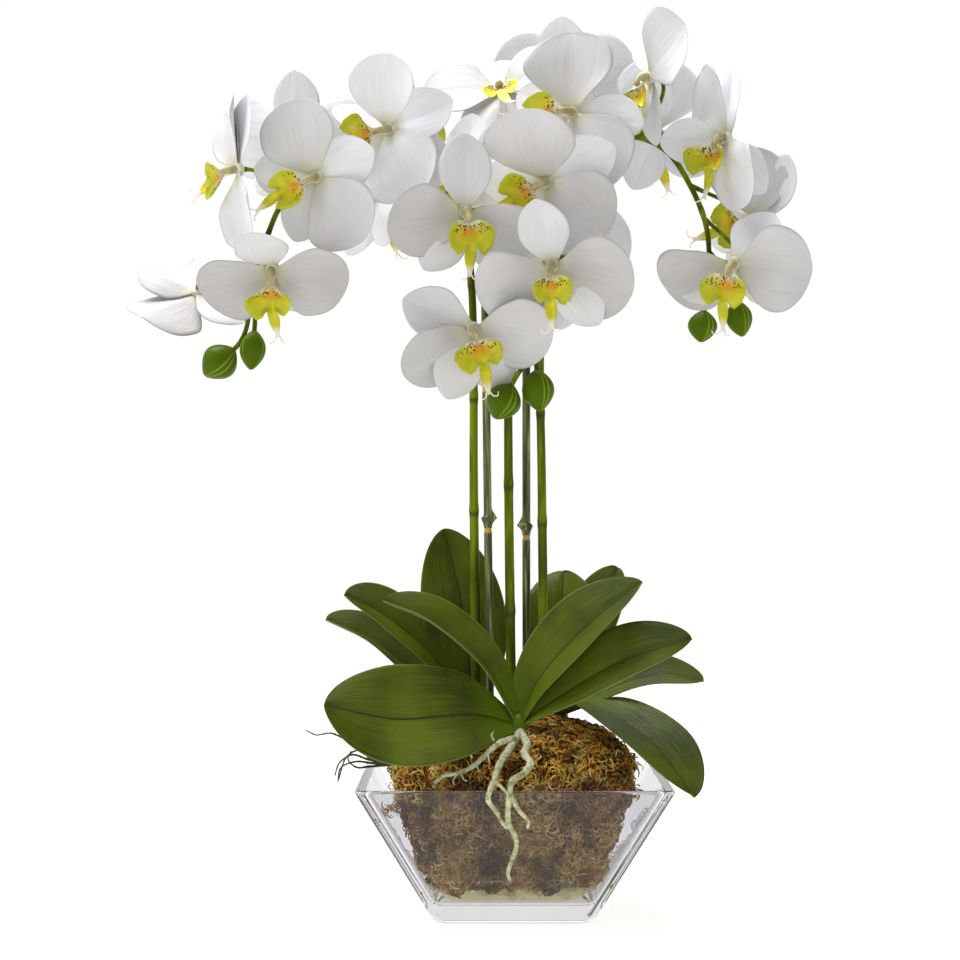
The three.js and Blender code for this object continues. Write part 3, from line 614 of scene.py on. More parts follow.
def outline(u, claw, widest, bluntness):
    """Half-width at u as a share of the widest: a sine rise from the claw, then an arc to the tip."""
    grown = claw + (1 - claw) * np.sin(np.pi / 2 * np.clip(u, 0, widest) / widest) ** 1.2
    closing = np.maximum(1 - ((u - widest) / (1 - widest)) ** 2, 0) ** bluntness
    return np.where(u <= widest, grown, closing)


def blade_part(surface, rows, columns, thickness):
    """A thin closed sheet: the upper side is surface(u, v), u from base to tip and v from -1 to 1
    across, and the under side lies below it along its normal, closer at the margins and the tip. Rows
    stand closer together towards the tip. UV is v and u, and tone is 1 on the under side."""
    stations = np.sin(np.pi / 2 * np.linspace(0, 1, rows))
    u, v = np.meshgrid(stations, np.linspace(-1, 1, columns), indexing="ij")
    step = 1e-3
    inner = np.minimum(u, 1 - 2 * step)
    along = surface(inner + step, v) - surface(inner - step, v)
    wide = np.minimum(u, NOT_YET_TIP)
    across = surface(wide, v + step) - surface(wide, v - step)
    depth = thickness * (MARGIN_THICKNESS + (1 - MARGIN_THICKNESS) * (1 - v ** 6)) * (1 - 0.6 * u ** 8)
    upper = surface(u, v)
    lower = upper - unit(np.cross(along, across)) * depth[..., None]
    lower[-1] = lower[-1].mean(axis=0)

    top = np.arange(rows * columns).reshape(rows, columns)
    top[-1] = top[-1, 0]
    low = top + rows * columns
    faces = [
        [top[:-1, :-1], top[1:, :-1], top[1:, 1:], top[:-1, 1:]],
        [low[:-1, :-1], low[:-1, 1:], low[1:, 1:], low[1:, :-1]],
        [top[:-1, 0], low[:-1, 0], low[1:, 0], top[1:, 0]],
        [top[:-1, -1], top[1:, -1], low[1:, -1], low[:-1, -1]],
        [top[0, :-1], top[0, 1:], low[0, 1:], low[0, :-1]],
    ]
    faces = np.vstack([np.stack(corners, axis=-1).reshape(-1, 4) for corners in faces])
    uv = np.stack([(v + 1) / 2, u], axis=-1).reshape(-1, 2)
    under = np.repeat([0.0, 1.0], rows * columns)
    return part_of(np.vstack([upper.reshape(-1, 3), lower.reshape(-1, 3)]), faces,
                   np.vstack([uv, uv]), under)


def leaf_part(place, rib, looks, half, fold, number):
    """A strap leaf: across its midrib both halves rise with the distance from the rib, softly round
    at the rib itself, with a bell-shaped groove along it, and its margins wave a little."""
    knots = np.vstack([[*place, MOSS_TOP + 1], rib])
    face = unit(looks)
    phase = 3 * vary(number, 1, 1)

    def surface(u, v):
        share = np.clip(u, 0, 1)
        ahead, behind = np.minimum(share + 0.004, 1), np.maximum(share - 0.004, 0)
        along = unit(smooth_line(knots, ahead) - smooth_line(knots, behind))
        across = unit(np.cross(face, along))
        reach = v * half * outline(u, LEAF_CLAW, LEAF_WIDEST, LEAF_BLUNTNESS)
        soft = np.sqrt(reach ** 2 + RIB_SOFT ** 2) - RIB_SOFT
        wave = 0.035 * half * v ** 2 * np.sin(7 * u + phase + 1.5 * np.sign(v))
        height = FOLD_DEEPENED * fold * soft + wave - bell(reach, 0, RIB_GROOVE)
        return smooth_line(knots, share) + across * reach[..., None] + face * height[..., None]

    return blade_part(surface, rows=44, columns=25, thickness=LEAF_THICKNESS)


def stump_part(place, radius, top):
    """A short round stump that narrows to its domed top."""
    up = np.linspace(0, 1, 14)[:, None]
    turn = around(24)[None, :]
    reach = radius * np.sqrt(np.clip(1 - (up * 0.98) ** 6, 0, 1)) * (1 + 0.06 * np.cos(3 * turn + 4 * up))
    rings = np.stack([place[0] + reach * np.cos(turn), place[1] + reach * np.sin(turn),
                      PLANTED_FROM + (top - PLANTED_FROM) * up + 0 * turn], axis=-1)
    return rings_part(rings, uv=np.full((up.size * turn.size + 2, 2), 0.2))


leaf = Look("satin strap leaf", Roughness=0.28, Specular_IOR_Level=0.13)
from_rib = leaf.off_middle(leaf.axis("X"))
leaf_lines = leaf.noise(5.0, 4.0, leaf.place((16, 0.6, 1), "UV"))
near_root = leaf.rise(leaf.axis("Y"), 0.34, 0.04, most=0.85)
under_side = leaf.product(leaf.tone(), 0.8)
# The dark line along the midrib is painted shade in its groove.
rib_groove_shade, margin_line = leaf.rise(from_rib, 0.034, 0.008), leaf.rise(from_rib, 0.965, 0.995)
leaf_colour = leaf.coats(
    leaf.ramp(leaf.noise(20.0, 3.0), (0.34, (0.034, 0.049, 0.0018)), (0.64, (0.096, 0.131, 0.0040))),
    (leaf.rise(leaf_lines, 0.48, 0.95), (0.125, 0.175, 0.009)), (near_root, (0.135, 0.220, 0.002)),
    (under_side, (0.112, 0.145, 0.028)), (rib_groove_shade, (0.024, 0.032, 0.003)), (margin_line, (0.16, 0.20, 0.05)))
leaf_dents = leaf.blend(leaf.noise(60.0, 3.0), 0.8, leaf_lines)
leaf_look = leaf.finish(leaf_colour, leaf_dents, depth=0.0022, strength=0.5)
leaf_number = 0
for name, (place, leaves) in CROWNS.items():
    parts = [stump_part(place, CROWN_RADIUS, MOSS_TOP + CROWN_HEIGHT)]
    for entry in leaves:
        leaf_number += 1
        parts.append(leaf_part(place, *entry, leaf_number))
    make_piece(f"{name}_leaves", parts, leaf_look, [name])


# Flower stems: three wired green stems that rise, arch over and hang, thinning to their ends, with
# a curved stalk behind each bloom and two plump green buds at the end.
SPIKE_RADIUS = 3.5
SPIKE_TIP_RADIUS = 1.6
PEDICEL_RADIUS = 1.3
HUB_BACK = 4.0
EVEN = (0, 0, 0, 0, 0)


def turn_of(facing, tilt, roll):
    """The matrix of a roll about the bloom's own axis, then a tilt, then a facing, in degrees."""
    facing, tilt, roll = np.radians([facing, -tilt, roll])
    cf, sf, ct, st, cr, sr = (math.cos(facing), math.sin(facing), math.cos(tilt), math.sin(tilt),
                              math.cos(roll), math.sin(roll))
    about_z = np.array([[cf, -sf, 0], [sf, cf, 0], [0, 0, 1]])
    about_x = np.array([[1, 0, 0], [0, ct, -st], [0, st, ct]])
    about_y = np.array([[cr, 0, sr], [0, 1, 0], [-sr, 0, cr]])
    return about_z @ about_x @ about_y


class Bloom:
    """A bloom: its place, the facing and tilt of its face, its roll, the knot of the stem where its
    stalk starts, and the degrees by which each tepal turns, lifts and leans off the pattern."""

    def __init__(self, place, face, roll, start, turns=EVEN, lifts=EVEN, leans=EVEN, size=1):
        self.place, self.turn, self.start = np.array(place, float), turn_of(*face, roll), start
        self.turns, self.lifts, self.leans, self.size = turns, lifts, leans, size

    def posed(self, part):
        """A part that was made round the origin and faces -Y, turned and moved to the bloom's place."""
        points, faces, uv, tone = part
        return points @ self.turn.T + self.place, faces, uv, tone


SPRAYS = {          # each bud: its place, the knot where its stalk starts, length, radius and lean
    "left": {
        "place": (-24, 8),
        "route": [
            [-25, 8, 205], [-26, 8, 290], [-26, 8, 370], [-28, 8, 424], [-34, 8, 464],
            [-48, 8, 491], [-70, 9, 504], [-95, 10, 507], [-118, 7, 500], [-138, 2, 487],
            [-153, -3, 468], [-163, -5, 444], [-171, -9, 416], [-174, -11, 394]],
        "blooms": [
            Bloom((-70, 48, 531), (130, 20), 0, 6, lifts=(0, 0, -35, 0, 0)),
            Bloom((-82, -12, 516), (-25, -5), 75, 7, lifts=(0, 18, 0, 14, 0), leans=(0, 0, -15, 0, 60)),
            Bloom((-147, 58, 517), (165, 0), 0, 8),
            Bloom((-128, -40, 481), (-22, -8), 66, 9),
            Bloom((-180, -25, 488), (-68, -5), 75, 10, turns=(60, -12, 18, 27, -40)),
            Bloom((-156, -42, 421), (-4, -35), 0, 11, turns=(10, -22, 30, 0, 0), lifts=(35, 0, 0, 0, 0),
                  leans=(0, 15, -15, 0, 0)),
            Bloom((-210, 15, 410), (-172, -58), 215, 12),
            Bloom((-92, 38, 479), (140, 0), 0, 6, turns=(0, 0, 30, 0, 0))],
        "buds": [
            ((-193, -12, 363), 13, 26, 11.5, (9, 0, 8)),
            ((-171, -14, 371), 12, 26, 8.5, (1, 1, 12))],
    },
    "centre": {
        "place": (-1, -6),
        "route": [
            [-2, -6, 205], [-3, -6, 290], [-3, -6, 360], [-1, -6, 420], [7, -4, 466],
            [23, 0, 500], [46, 3, 529], [62, -6, 538], [62, -26, 528], [54, -40, 502],
            [44, -50, 470], [33, -56, 436], [22, -60, 400], [14, -62, 368]],
        "blooms": [
            Bloom((36, 70, 561), (175, 20), 0, 6),
            Bloom((37, -52, 521), (-18, 5), 78, 8, turns=(-25, 10, 0, 0, 0), size=1.08),
            Bloom((20, -66, 475), (-20, -10), 62, 9, turns=(0, 10, -8, 0, 0),
                  lifts=(10, 0, 28, 0, 0), size=1.05),
            Bloom((-31, -86, 454), (13, -5), -2, 10, turns=(0, -46, 20, 0, 0), leans=(0, 40, -40, 0, 0)),
            Bloom((23, -104, 418), (-10, 0), -3, 11, turns=(10, -28, 40, 0, 32), lifts=(34, 0, 0, 0, -30),
                  leans=(0, 30, -35, 0, 0)),
            Bloom((-26, -86, 380), (5, -5), -15, 12, turns=(54, -36, 32, -20, -4), leans=(0, 30, -45, 0, 0)),
            Bloom((-31, -22, 484), (-20, 0), 0, 4, size=0.95),
            Bloom((-8, 20, 546), (-15, 45), -18, 5)],
        "buds": [
            ((-7, -78, 335), 13, 24, 11, (5, 0, 10)),
            ((15, -78, 342), 13, 26, 10, (-1, 0, 12))],
    },
    "right": {
        "place": (21, 0),
        "route": [
            [20, 0, 205], [19, 0, 290], [18, 0, 360], [20, 0, 415], [27, 0, 458],
            [41, 5, 494], [61, 8, 515], [84, 4, 513], [103, -1, 502], [117, -4, 480],
            [126, -6, 458], [129, -8, 436], [127, -8, 411]],
        "blooms": [
            Bloom((98, 50, 523), (-175, 0), 15, 8, turns=(0, 0, -60, 0, 0)),
            Bloom((89, -12, 550), (-58, 0), -15, 7, turns=(0, 5, -50, -50, 0), lifts=(-5, 0, -40, 5, 24)),
            Bloom((138, -20, 509), (-45, 0), 0, 8, turns=(0, -74, -50, 0, -50), lifts=(0, 0, 0, 0, 48),
                  leans=(-30, 20, -30, 0, 0)),
            Bloom((162, 5, 457), (-40, 0), 75, 9, turns=(45, 0, 0, 0, 30), leans=(0, 0, 36, 0, 0)),
            Bloom((141, -50, 424), (-28, -12), 10, 10, turns=(-20, -6, 42, 30, -25),
                  lifts=(-45, 0, 0, 0, 0), leans=(0, 0, -40, 0, 0)),
            Bloom((29, 42, 440), (180, 0), 0, 4)],
        "buds": [
            ((125, -6, 387), 12, 21, 9.5, (1, 0, 10)),
            ((149, -8, 392), 11, 24, 8.5, (-2, 0, 11))],
    },
}


def even_line(knots, stations):
    """Stations evenly spread by length along the smooth curve through knots."""
    fine = smooth_line(knots, np.linspace(0, 1, 60 * len(knots)))
    gone = np.append(0, np.cumsum(np.linalg.norm(np.diff(fine, axis=0), axis=1)))
    wanted = np.linspace(0, gone[-1], stations)
    return np.stack([np.interp(wanted, gone, fine[:, k]) for k in range(3)], axis=-1)


def bow_line(start, bow, end, stations):
    """A curve that leaves start towards bow and reaches end from it."""
    w = np.linspace(0, 1, stations)[:, None]
    return (1 - w) ** 2 * np.asarray(start) + 2 * w * (1 - w) * np.asarray(bow) + w ** 2 * np.asarray(end)


def tube_part(path, radius, sides=12, tone=0.0):
    """A closed tube along a path; radius is one number, one per station or one per ring point. Rings
    keep one direction: square to the path and to the flattest direction of the whole path."""
    along = unit(np.gradient(path, axis=0))
    flattest = np.linalg.svd(path - path.mean(axis=0))[2][-1]
    first = unit(np.cross(flattest, along))
    second = np.cross(along, first)
    turn = around(sides)[:, None]
    radius = np.asarray(radius, float)
    radius = radius.reshape(-1, 1) if radius.ndim < 2 else radius
    reach = np.broadcast_to(radius, (len(path), sides))[..., None]
    rings = path[:, None] + reach * (first[:, None] * np.cos(turn) + second[:, None] * np.sin(turn))
    return rings_part(rings, tone=tone)


def stem_part(place, route):
    """The stem: its radius shrinks evenly, with a slight swelling and a dark ring at each joint, one
    every eighth of its length. Tone is -1 at a joint."""
    knots = np.vstack([[*place, PLANTED_FROM], [*place, MOSS_TOP], route])
    share = np.linspace(0, 1, 420)
    joints = np.arange(1, 8) / 8 + 0.03
    ring = bell(share[:, None], joints, 0.0032).sum(axis=1)
    swell = bell(share[:, None], joints + 0.004, 0.006).sum(axis=1)
    radius = (SPIKE_RADIUS + (SPIKE_TIP_RADIUS - SPIKE_RADIUS) * share) * (1 + 0.14 * swell)
    mark = -np.repeat(np.clip(ring, 0, 1)[:, None], 12, axis=1)
    return tube_part(even_line(knots, len(share)), radius, 12, mark)


def stalk_part(bloom, route):
    """A bloom's stalk: it leaves the stem and comes to the knob's back from behind."""
    back = bloom.turn @ np.array([0, 1.0, 0])
    seat = bloom.place + back * (HUB_BACK + CLEARANCE)
    start = np.array(route[bloom.start], float)
    bow = seat + back * 0.5 * np.linalg.norm(seat - start)
    share = np.linspace(0, 1, 26)
    radius = PEDICEL_RADIUS * (1 + 0.45 * bell(share, 0, 0.06) + 0.5 * bell(share, 1, 0.08))
    return tube_part(bow_line(start, bow, seat, 26), radius, 10)


def bud_parts(route, place, start, long, radius, lean):
    """A plump bud round a leaning axis, blunt above and pointed below, with a groove between the halves
    of each of its three outer sepals; tone is 0.5 to 1 towards the groove's lips, which are painted
    pale as a painted highlight. Its stalk leaves the stem and enters the bud's top along its axis."""
    lean = unit(lean)
    share = np.linspace(0, 1, 34)
    path = np.array(place, float) + lean * long * (0.5 - share)[:, None]
    body = radius * np.sin(math.pi * (0.02 + 0.96 * share)) ** 0.72 * (1.04 - 0.12 * (share - 0.3))
    sweep = np.angle(np.exp(3j * around(48)))[None, :] / 3 + 0 * share[:, None]
    groove = bell(sweep, 0, 0.07)
    lips = bell(np.abs(sweep), 0.16, 0.08)
    bud = tube_part(path, body[:, None] * (1 - 0.075 * groove + 0.03 * lips), 48,
                    0.55 + 0.45 * lips - 0.30 * groove)
    start = np.array(route[start], float)
    end = np.array(place, float) + lean * 0.45 * long
    bow = end + lean * np.linalg.norm(start - end) / 2
    return [bud, tube_part(bow_line(start, bow, end, 22), PEDICEL_RADIUS + 0.3, 10)]


stem = Look("wired green stem", Roughness=0.30, Specular_IOR_Level=0.05)
stem_tone = stem.tone()
stem_grain = stem.noise(120.0, 4.0, stem.place((1, 1, 0.12)))
stem_ground = stem.ramp(stem_grain, (0.36, (0.032, 0.047, 0.002)), (0.5, (0.078, 0.109, 0.003)),
                        (0.62, (0.18, 0.235, 0.006)))
joint, is_bud = stem.rise(stem_tone, -0.1, -1.2), stem.rise(stem_tone, 0.12, 0.14)
# The lips of each bud's groove are painted paler, as a painted highlight.
bud_colour = stem.mix(stem.rise(stem_tone, 0.62, 0.98), (0.064, 0.114, 0.002), (0.21, 0.31, 0.02))
stem_colour = stem.coats(stem_ground, (joint, (0.034, 0.042, 0.012)), (is_bud, bud_colour))
stem_look = stem.finish(stem_colour, stem_grain, depth=0.0005, strength=0.4)
for name, spray in SPRAYS.items():
    route = spray["route"]
    parts = [stem_part(spray["place"], route)]
    parts += [stalk_part(bloom, route) for bloom in spray["blooms"]]
    for bud in spray["buds"]:
        parts += bud_parts(route, *bud)
    make_piece(f"spike_{name}_stem", parts, stem_look, [f"spike_{name}"])


# Blooms: five tepals of white silk on a small knob, pressed so that the two round petals lie over
# the dorsal and side sepals, with soft waves at their margins and faint veins from the claw.
PETAL = {"length": 52, "half": 28, "claw": 0.12, "widest": 0.55, "bluntness": 0.5, "set": 0,
         "curl": 24, "cup": 0.16, "wave": 1.5}
SEPAL = {"length": 45, "half": 15.5, "claw": 0.25, "widest": 0.5, "bluntness": 0.68, "set": 1.5,
         "curl": 8, "cup": 0.04, "wave": 0.7}
DORSAL = {**SEPAL, "length": 47, "half": 17}
TEPALS = [(DORSAL, 90, 0), (PETAL, 12, 14), (PETAL, 168, 14), (SEPAL, -55, -4), (SEPAL, -125, -4)]
BLOOM_PAINTED_LIGHT = {          # how pale each bloom is painted, which is painted light: those at the back are pale as if lit through, those in front greyer as in shade
    "left": (0.9, 0.9, 0.9, 0.4, 0.75, 0.32, 0.0, 0.9),
    "centre": (0.85, 0.22, 0.45, 0.25, 0.38, 0.35, 0.95, 0.35),
    "right": (0.8, 0.75, 0.75, 0.65, 0.35, 0.7),
}
# Sepals are painted paler still. This is painted light, copying the brighter-lit dorsal sepals.
SEPAL_PAINTED_PALER = 0.35
TEPAL_THICKNESS = 0.8
TEPAL_START = 2.5
CREASE = 0.7
HUB_RADIUS = 5.0
HUB_FRONT = 2.0


def tepal_part(kind, angle, lift, number, k, bloom, shade):
    """One tepal in its bloom's frame, which faces -Y: it leaves the centre at an angle, lifts to the
    front, leans about its own length, curls back along it, is cupped across and waves at its margins.
    Its tone says how pale it is painted, which is painted light."""
    length = kind["length"] * bloom.size * (1 + 0.05 * vary(number, k, 1))
    widest = kind["half"] * bloom.size * (1 + 0.06 * vary(number, k, 2))
    angle = math.radians(angle + bloom.turns[k] + 5 * vary(number, k, 3))
    lift = lift + bloom.lifts[k] + 6 * vary(number, k, 4)
    curl = kind["curl"] + 12 * vary(number, k, 5)
    lean = math.radians(bloom.leans[k] + 5 * vary(number, k, 6))
    phase = 3 * vary(number, k, 7)

    def surface(u, v):
        half = widest * outline(u, kind["claw"], kind["widest"], kind["bluntness"])
        half = half * (1 + 0.012 * np.sin(9 * u + phase + 2 * np.sign(v)))
        bend = np.radians(lift - curl * u / 2)
        run = (length - TEPAL_START) * u
        along = TEPAL_START + run * np.cos(bend)
        wave = kind["wave"] * np.abs(v) ** 2.5 * np.sin(8 * u + phase + 1.7 * np.sign(v)) * np.sin(np.pi * u)
        middle = np.sin(np.pi * np.clip(u, 0, 1))
        crease = -CREASE * bell(v * half, 0, 2.0) * middle
        ribs = (0.10 * np.cos(21 * v + phase) + 1.3 * np.sin(2.4 * v + 2 * phase + 2 * u)) * middle
        leaning = lean * np.minimum(3 * u, 1)
        across = v * half * np.cos(leaning)
        rise = run * np.sin(bend) + v * half * (np.sin(leaning) + kind["cup"] * v) - kind["set"]
        return np.stack([along * math.cos(angle) - across * math.sin(angle), -(rise + wave + crease + ribs),
                         along * math.sin(angle) + across * math.cos(angle)], axis=-1)

    points, faces, uv, tone = blade_part(surface, rows=26, columns=21, thickness=TEPAL_THICKNESS)
    # The paleness is painted light: the bloom's painted light, more for sepals, plus a little at random.
    pale = shade + (0 if kind is PETAL else SEPAL_PAINTED_PALER) + 0.12 * vary(number, k, 8)
    return points, faces, uv, np.full(len(tone), pale)


def hub_part(shade):
    """The knob behind the lip: a low round button, painted as pale as the bloom, which is painted light."""
    levels, sides = 8, 20
    y = np.linspace(HUB_BACK, -0.5 * HUB_FRONT, levels)[:, None]
    reach = HUB_RADIUS * (1 - np.abs((y - 1.5) / 2.7) ** 3 * 0.55)
    turn = around(sides)
    rings = np.stack([reach * np.cos(turn), y + 0 * turn, reach * np.sin(turn)], axis=-1)
    return rings_part(rings, np.full((levels, sides), shade), np.full((levels * sides + 2, 2), 0.12))


silk = Look("white petal silk", Roughness=0.62, Specular_IOR_Level=0.25, Sheen_Weight=0.15,
            Sheen_Roughness=0.5)
veins = silk.noise(6.0, 3.0, silk.place((5.5, 0.45, 1), "UV"))
weave = silk.noise(1500.0, 2.0)
fold_bump_and_shade = silk.noise(16.0, 2.0)
# The silk's colour follows the tone, which is painted light. It is greyer and warmer for blooms painted in
# shade, and whiter and cooler for those painted lit.
silk_colour = silk.ramp(silk.tone(), (0.0, (0.440, 0.430, 0.412)), (0.5, (0.640, 0.632, 0.628)),
                        (1.0, (0.860, 0.862, 0.885)))
vein_shade = silk.ramp(veins, (0.35, (0.94, 0.94, 0.945)), (0.6, (1.0, 1.0, 1.0)))
silk_colour = silk.mix(1.0, silk_colour, vein_shade, "MULTIPLY")
# Soft grey patches are painted shade of the petals' folds. The same noise also bumps the surface.
silk_colour = silk.shade(silk.rise(fold_bump_and_shade, 0.40, 0.68), silk_colour, (0.87, 0.865, 0.86))
# Darker margins are painted shade along the petals' edges.
painted_margin_shade = silk.rise(silk.off_middle(silk.axis("X")), 0.94, 1.0)
silk_colour = silk.shade(painted_margin_shade, silk_colour, (0.78, 0.78, 0.79))
silk_colour = silk.mix(silk.rise(silk.axis("Y"), 0.22, 0.0), silk_colour, (0.56, 0.57, 0.36))
silk_height = silk.blend(weave, 0.15, silk.blend(fold_bump_and_shade, 3.0, veins))
silk_look = silk.finish(silk_colour, silk_height, depth=0.0012, strength=0.35)


def numbered_blooms():
    """Each bloom with its number over all sprays, its node's name and how pale it is painted, which is
    painted light.
    """
    rows = [(bloom, f"{name}_bloom_{order}", BLOOM_PAINTED_LIGHT[name][order - 1])
            for name, spray in SPRAYS.items() for order, bloom in enumerate(spray["blooms"], 1)]
    return enumerate(rows, 1)


for number, (bloom, node, shade) in numbered_blooms():
    parts = [hub_part(shade)]
    parts += [tepal_part(*tepal, number, k, bloom, shade) for k, tepal in enumerate(TEPALS)]
    make_piece(f"{node}_tepals", [bloom.posed(part) for part in parts], silk_look, [node])


# Lips: each bloom's yellow lip of printed silk, with two raised side lobes, an orange callus, red
# speckles and a narrow white-tipped tongue with two tendrils, under a short cream column.
LIP_SEAT = HUB_FRONT + CLEARANCE
LIP_THICKNESS = 0.9
LIP_CLAW_HALF = 2.2
LIP_VARIES = 11             # the item of vary that stands for the lip


def lip_sway(number):
    """How far a bloom's tongue sways to one side."""
    return 5 * vary(number, 5, LIP_VARIES)


def lip_part(number):
    """The lip: from a narrow claw it widens into two uneven side lobes like wings, which stand forward
    with the square of the way across, rise at their upper edge and droop at their lower corner; then it
    narrows to a tongue that hangs forward and sways to one side. Bell curves give each swelling."""
    spread = 12 + 2 * vary(number, 1, LIP_VARIES)
    fold = 9 + 4 * vary(number, 2, LIP_VARIES)
    droop = 9.5 + 2.5 * vary(number, 3, LIP_VARIES)
    uneven = 0.24 * vary(number, 4, LIP_VARIES)
    wing_rise = 1.5 + 2 * vary(number, 6, LIP_VARIES)

    def surface(u, v):
        side = 1 + uneven * np.tanh(4 * v)
        lobes = spread * side * bell(u, 0.55, np.where(u < 0.55, 0.13, 0.075))
        tongue = 1.9 * bell(u, 0.82, 0.14)
        half = (LIP_CLAW_HALF + lobes + tongue) * np.sqrt(np.maximum(1 - np.clip(u, 0, 1) ** 8, 0))
        raised = fold * side * v ** 2 * bell(u, 0.52, 0.2)
        callus = 2.0 * bell(v, 0, 0.16) * bell(u, 0.46, 0.07)
        wing = wing_rise * np.abs(v) ** 1.5 * bell(u, 0.43, 0.07)
        corner = droop * side * np.abs(v) ** 2.2 * bell(u, 0.61, 0.05)
        ruffle = 0.8 * np.abs(v) ** 3 * np.sin(30 * u + number) * bell(u, 0.55, 0.2)
        forward = LIP_SEAT + CLEARANCE + 15 * np.maximum(u, 0) ** 1.5 + raised + callus + ruffle
        across = -v * half + lip_sway(number) * np.maximum(u - 0.6, 0) ** 2 / 0.16
        return np.stack([across, -forward, -2 - 6 * u - 33 * u ** 2 + 0.35 * raised + wing - corner], axis=-1)

    return blade_part(surface, rows=44, columns=19, thickness=LIP_THICKNESS)


def column_part():
    """The column: a short ringed rod that bows down over the lip and ends in a blunt cap. Its tone
    is 2."""
    share = np.linspace(0, 1, 18)
    cap = np.clip((share - 0.85) / 0.15, 0, 1) ** 2
    radius = (2.7 - 0.6 * share) * (1 - 0.55 * cap) * (1 + 0.14 * np.sin(7 * share))
    return tube_part(bow_line((0, -0.5, 0.5), (0, -9.5, 1.5), (0, -11, -7), 18), radius, 14,
                     np.full((18, 14), 2.0))


def tendril_part(side, number):
    """A thin tendril from the swaying tongue's tip that curls out and up, with the tip's UV."""
    knots = [[side * 1.0, -17.5, -39], [side * 2.4, -19, -42], [side * 5.0, -21, -42.5],
             [side * 5.8, -22.5, -40]]
    share = np.linspace(0, 1, 14)
    path = smooth_line(knots, share) + np.array([lip_sway(number), 0, 0])
    points, faces, uv, tone = tube_part(path, 0.55 * (1 - 0.6 * share), 6)
    return points, faces, np.full(uv.shape, [0.5, 0.97]), tone


lip = Look("printed lip", Roughness=0.5, Specular_IOR_Level=0.35)
lip_u, lip_out = lip.axis("Y"), lip.off_middle(lip.axis("X"))
lip_cloud = lip.noise(160.0, 3.0)
near_base = lip.rise(lip.blend(lip_cloud, 0.16, lip_u), 0.56, 0.46)
on_callus = lip.product(lip.rise(lip_out, 0.50, 0.10, most=0.85),
                        lip.product(lip.rise(lip_u, 0.38, 0.46), lip.rise(lip_u, 0.62, 0.52)))
dots = lip.node("TexVoronoi", {"Vector": lip.place(), "Scale": 640.0}, "Distance")
patchy = lip.rise(lip.noise(210.0, 1.0), 0.36, 0.46)
dotted = lip.product(lip.product(lip.rise(lip_out, 0.06, 0.16), lip.rise(lip_out, 0.98, 0.88)),
                     lip.product(lip.rise(lip_u, 0.32, 0.38), lip.rise(lip_u, 0.56, 0.50)))
speckles = lip.product(lip.rise(dots, 0.48, 0.38), lip.product(dotted, patchy))
column_colour = lip.ramp(lip_cloud, (0.3, (0.26, 0.21, 0.075)), (0.7, (0.52, 0.46, 0.25)))
lip_colour = lip.coats(
    lip.ramp(lip_cloud, (0.3, (0.46, 0.44, 0.006)), (0.7, (0.70, 0.62, 0.018))),
    (lip.rise(lip_out, 0.45, 1.10), (0.42, 0.46, 0.008)), (near_base, (0.74, 0.70, 0.50)),
    (on_callus, (0.70, 0.27, 0.008)), (speckles, (0.12, 0.018, 0.010)),
    (lip.rise(lip_u, 0.88, 0.96), (0.80, 0.78, 0.66)), (lip.rise(lip.tone(), 1.4, 1.6), column_colour))
lip_look = lip.finish(lip_colour, lip_cloud, depth=0.0006, strength=0.3)

for number, (bloom, node, _) in numbered_blooms():
    parts = [lip_part(number), column_part(), tendril_part(-1, number), tendril_part(1, number)]
    make_piece(f"{node}_lip_print", [bloom.posed(part) for part in parts], lip_look, [f"{node}_lip"])


# Roots: pale rubbery aerial roots that leave the front crown, cross the moss and hang over the rim
# down the outside of the glass, and a thin wiry tuft at the left.
ROOT_START = [4, -51.4, 123.8]
FRONT_ROOTS = [
    {"radius": 2.8, "over": [[-2, -70, 117], [-7.6, -80, 110], [-11, -90, 104], [-13, -98, 98.5]],
     "down": [[-16.5, 90], [-16, 85], [-11.5, 79], [-8.5, 73], [-5, 68]]},
    {"radius": 2.7, "over": [[8, -70, 118], [6, -78, 113], [10, -86, 108], [5, -93, 102], [-2, -99, 98]],
     "down": [[-3.5, 90], [-4.5, 77], [-3.5, 70], [0, 63], [1, 55], [-2, 45], [-4, 38], [-3, 32]]},
    {"radius": 2.3, "over": [[1, -62, 121.5], [-4, -69, 121], [-10, -74, 119], [-16, -78, 114.5],
                             [-22, -81, 109], [-28, -84, 104.5], [-36, -89, 102], [-45, -93, 100.5],
                             [-49.5, -96, 97], [-50.5, -99.5, 94.6]], "down": []},
]
ROOT_FORK = [[-3.5, 90], [-1, 86], [3, 79], [8, 73], [8, 68]]
ROOT_LINK = [[-13, -98.5, 97.5], [-8.5, -103.5, 95], [-4, -105.3, 90]]
TUFT_START = [-76.6, -21.1, 100]
ROOTLETS = [
    [[-26.8, -83, 110.9], [-28.7, -84, 114.6], [-34, -86, 114.0], [-39.3, -88, 110.3]],
    [[-17.4, -79, 115.9], [-16.5, -81.5, 111], [-15.6, -83, 106.5]],
    [[-13.1, -75, 121], [-14.5, -76, 124.5], [-13.1, -77, 127]],
    [[-36.1, -89, 101.5], [-38.5, -92, 98], [-38, -95, 95.5]],
    [[-34.1, -88.5, 102.5], [-32, -90.5, 98.5], [-29.9, -92, 97.2]],
    [[-21, -81, 110.5], [-23.5, -83.5, 106], [-22, -86, 102]],
]
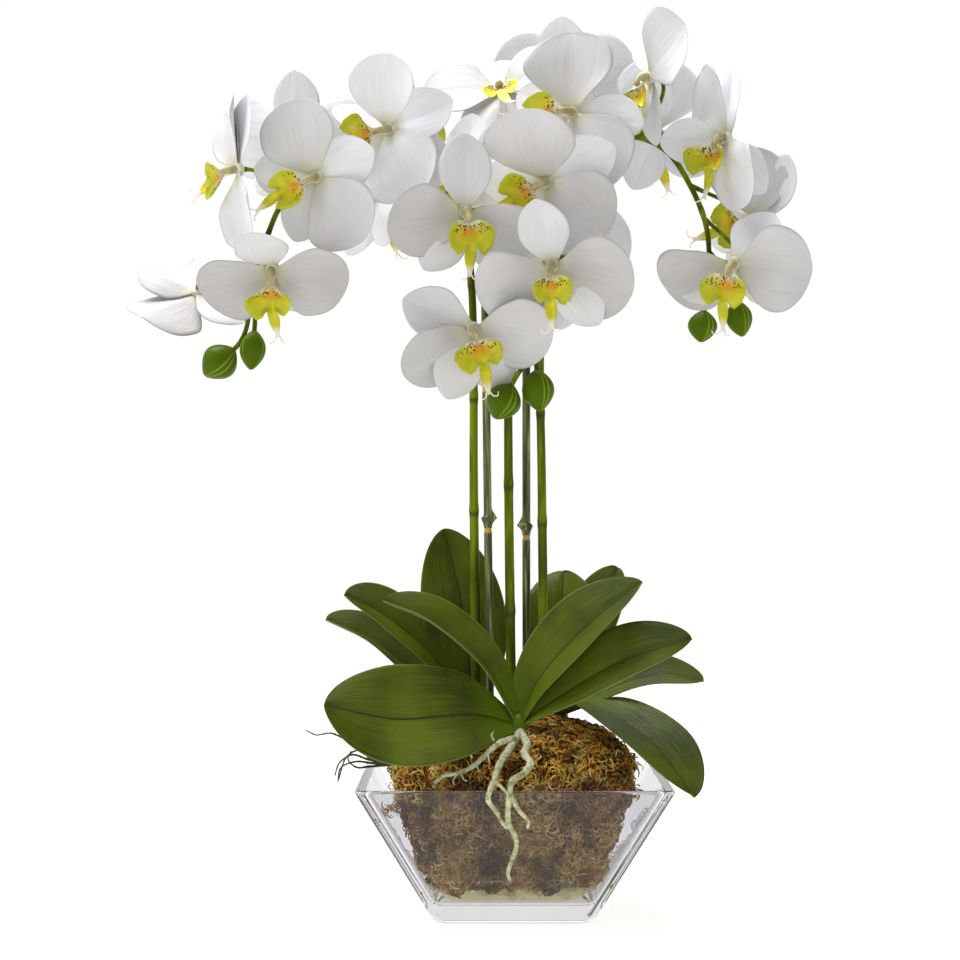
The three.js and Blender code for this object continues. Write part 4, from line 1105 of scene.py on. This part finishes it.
LEFT_ROOTS = [
    [[-92, -26, 108], [-106, -28, 115], [-118, -30, 121], [-128, -30, 120], [-135, -29, 123]],
    [[-94, -30, 104], [-104, -38, 108], [-112, -46, 104], [-115, -50, 96]],
    [[-93, -34, 100], [-101, -48, 101], [-106, -58, 107], [-104, -64, 113]],
    [[-92, -30, 104], [-99, -38, 111], [-108, -44, 107], [-112.8, -46, 93]],
    [[-92, -32, 102], [-102, -42, 104], [-111, -50, 101], [-113, -52, 92]],
]


def down_glass(points, radius):
    """Places down the outside of the glass, from X and Z, just clear of it."""
    return [[x, -(outside_half(z) + radius + 2 * CLEARANCE), z] for x, z in points]


def root_part(knots, radius, number):
    """A root: a tube that thins to less than half, with knobs along it from a sum of sines."""
    path = even_line(knots, 26 * len(knots))
    share = np.linspace(0, 1, len(path))[:, None]
    knobs = 0.07 * np.sin(61 * share + number) + 0.05 * np.sin(143 * share + 2 * around(12) + number)
    return tube_part(path, radius * (1 - 0.55 * share) * (1 + knobs), 12)


root = Look("pale aerial root", Roughness=0.75, Specular_IOR_Level=0.25)
root_cloud = root.noise(170.0, 5.0)
root_ground = root.ramp(root_cloud, (0.30, (0.20, 0.22, 0.08)), (0.42, (0.42, 0.44, 0.24)),
                        (0.62, (0.60, 0.60, 0.40)), (0.8, (0.72, 0.70, 0.52)))
flecks = root.noise(480.0, 3.0)
root_colour = root.mix(root.rise(flecks, 0.54, 0.64, most=0.75), root_ground, (0.20, 0.21, 0.085))
root_look = root.finish(root_colour, root.blend(flecks, -0.8, root_cloud), depth=0.0012, strength=0.7)
parts = [root_part([ROOT_START, *entry["over"], *down_glass(entry["down"], entry["radius"])],
                   entry["radius"], k) for k, entry in enumerate(FRONT_ROOTS)]
parts.append(root_part(down_glass(ROOT_FORK, 2), 2, 3))
parts.append(root_part(ROOT_LINK, 1.4, 4))
parts += [root_part(knots, 0.75, 8 + k) for k, knots in enumerate(ROOTLETS)]
make_piece("roots_front_strands", parts, root_look, ["roots_front"])

wire = Look("dark wiry root", Roughness=0.6, Specular_IOR_Level=0.2)
wire_cloud = wire.noise(150.0, 3.0)
wire_colour = wire.ramp(wire_cloud, (0.35, (0.030, 0.036, 0.014)), (0.7, (0.14, 0.15, 0.07)))
wire_look = wire.finish(wire_colour, wire_cloud, depth=0.0006, strength=0.5)
wires = [root_part([TUFT_START, *knots], 1.0, 15 + k) for k, knots in enumerate(LEFT_ROOTS)]
make_piece("roots_left_strands", wires, wire_look, ["roots_left"])
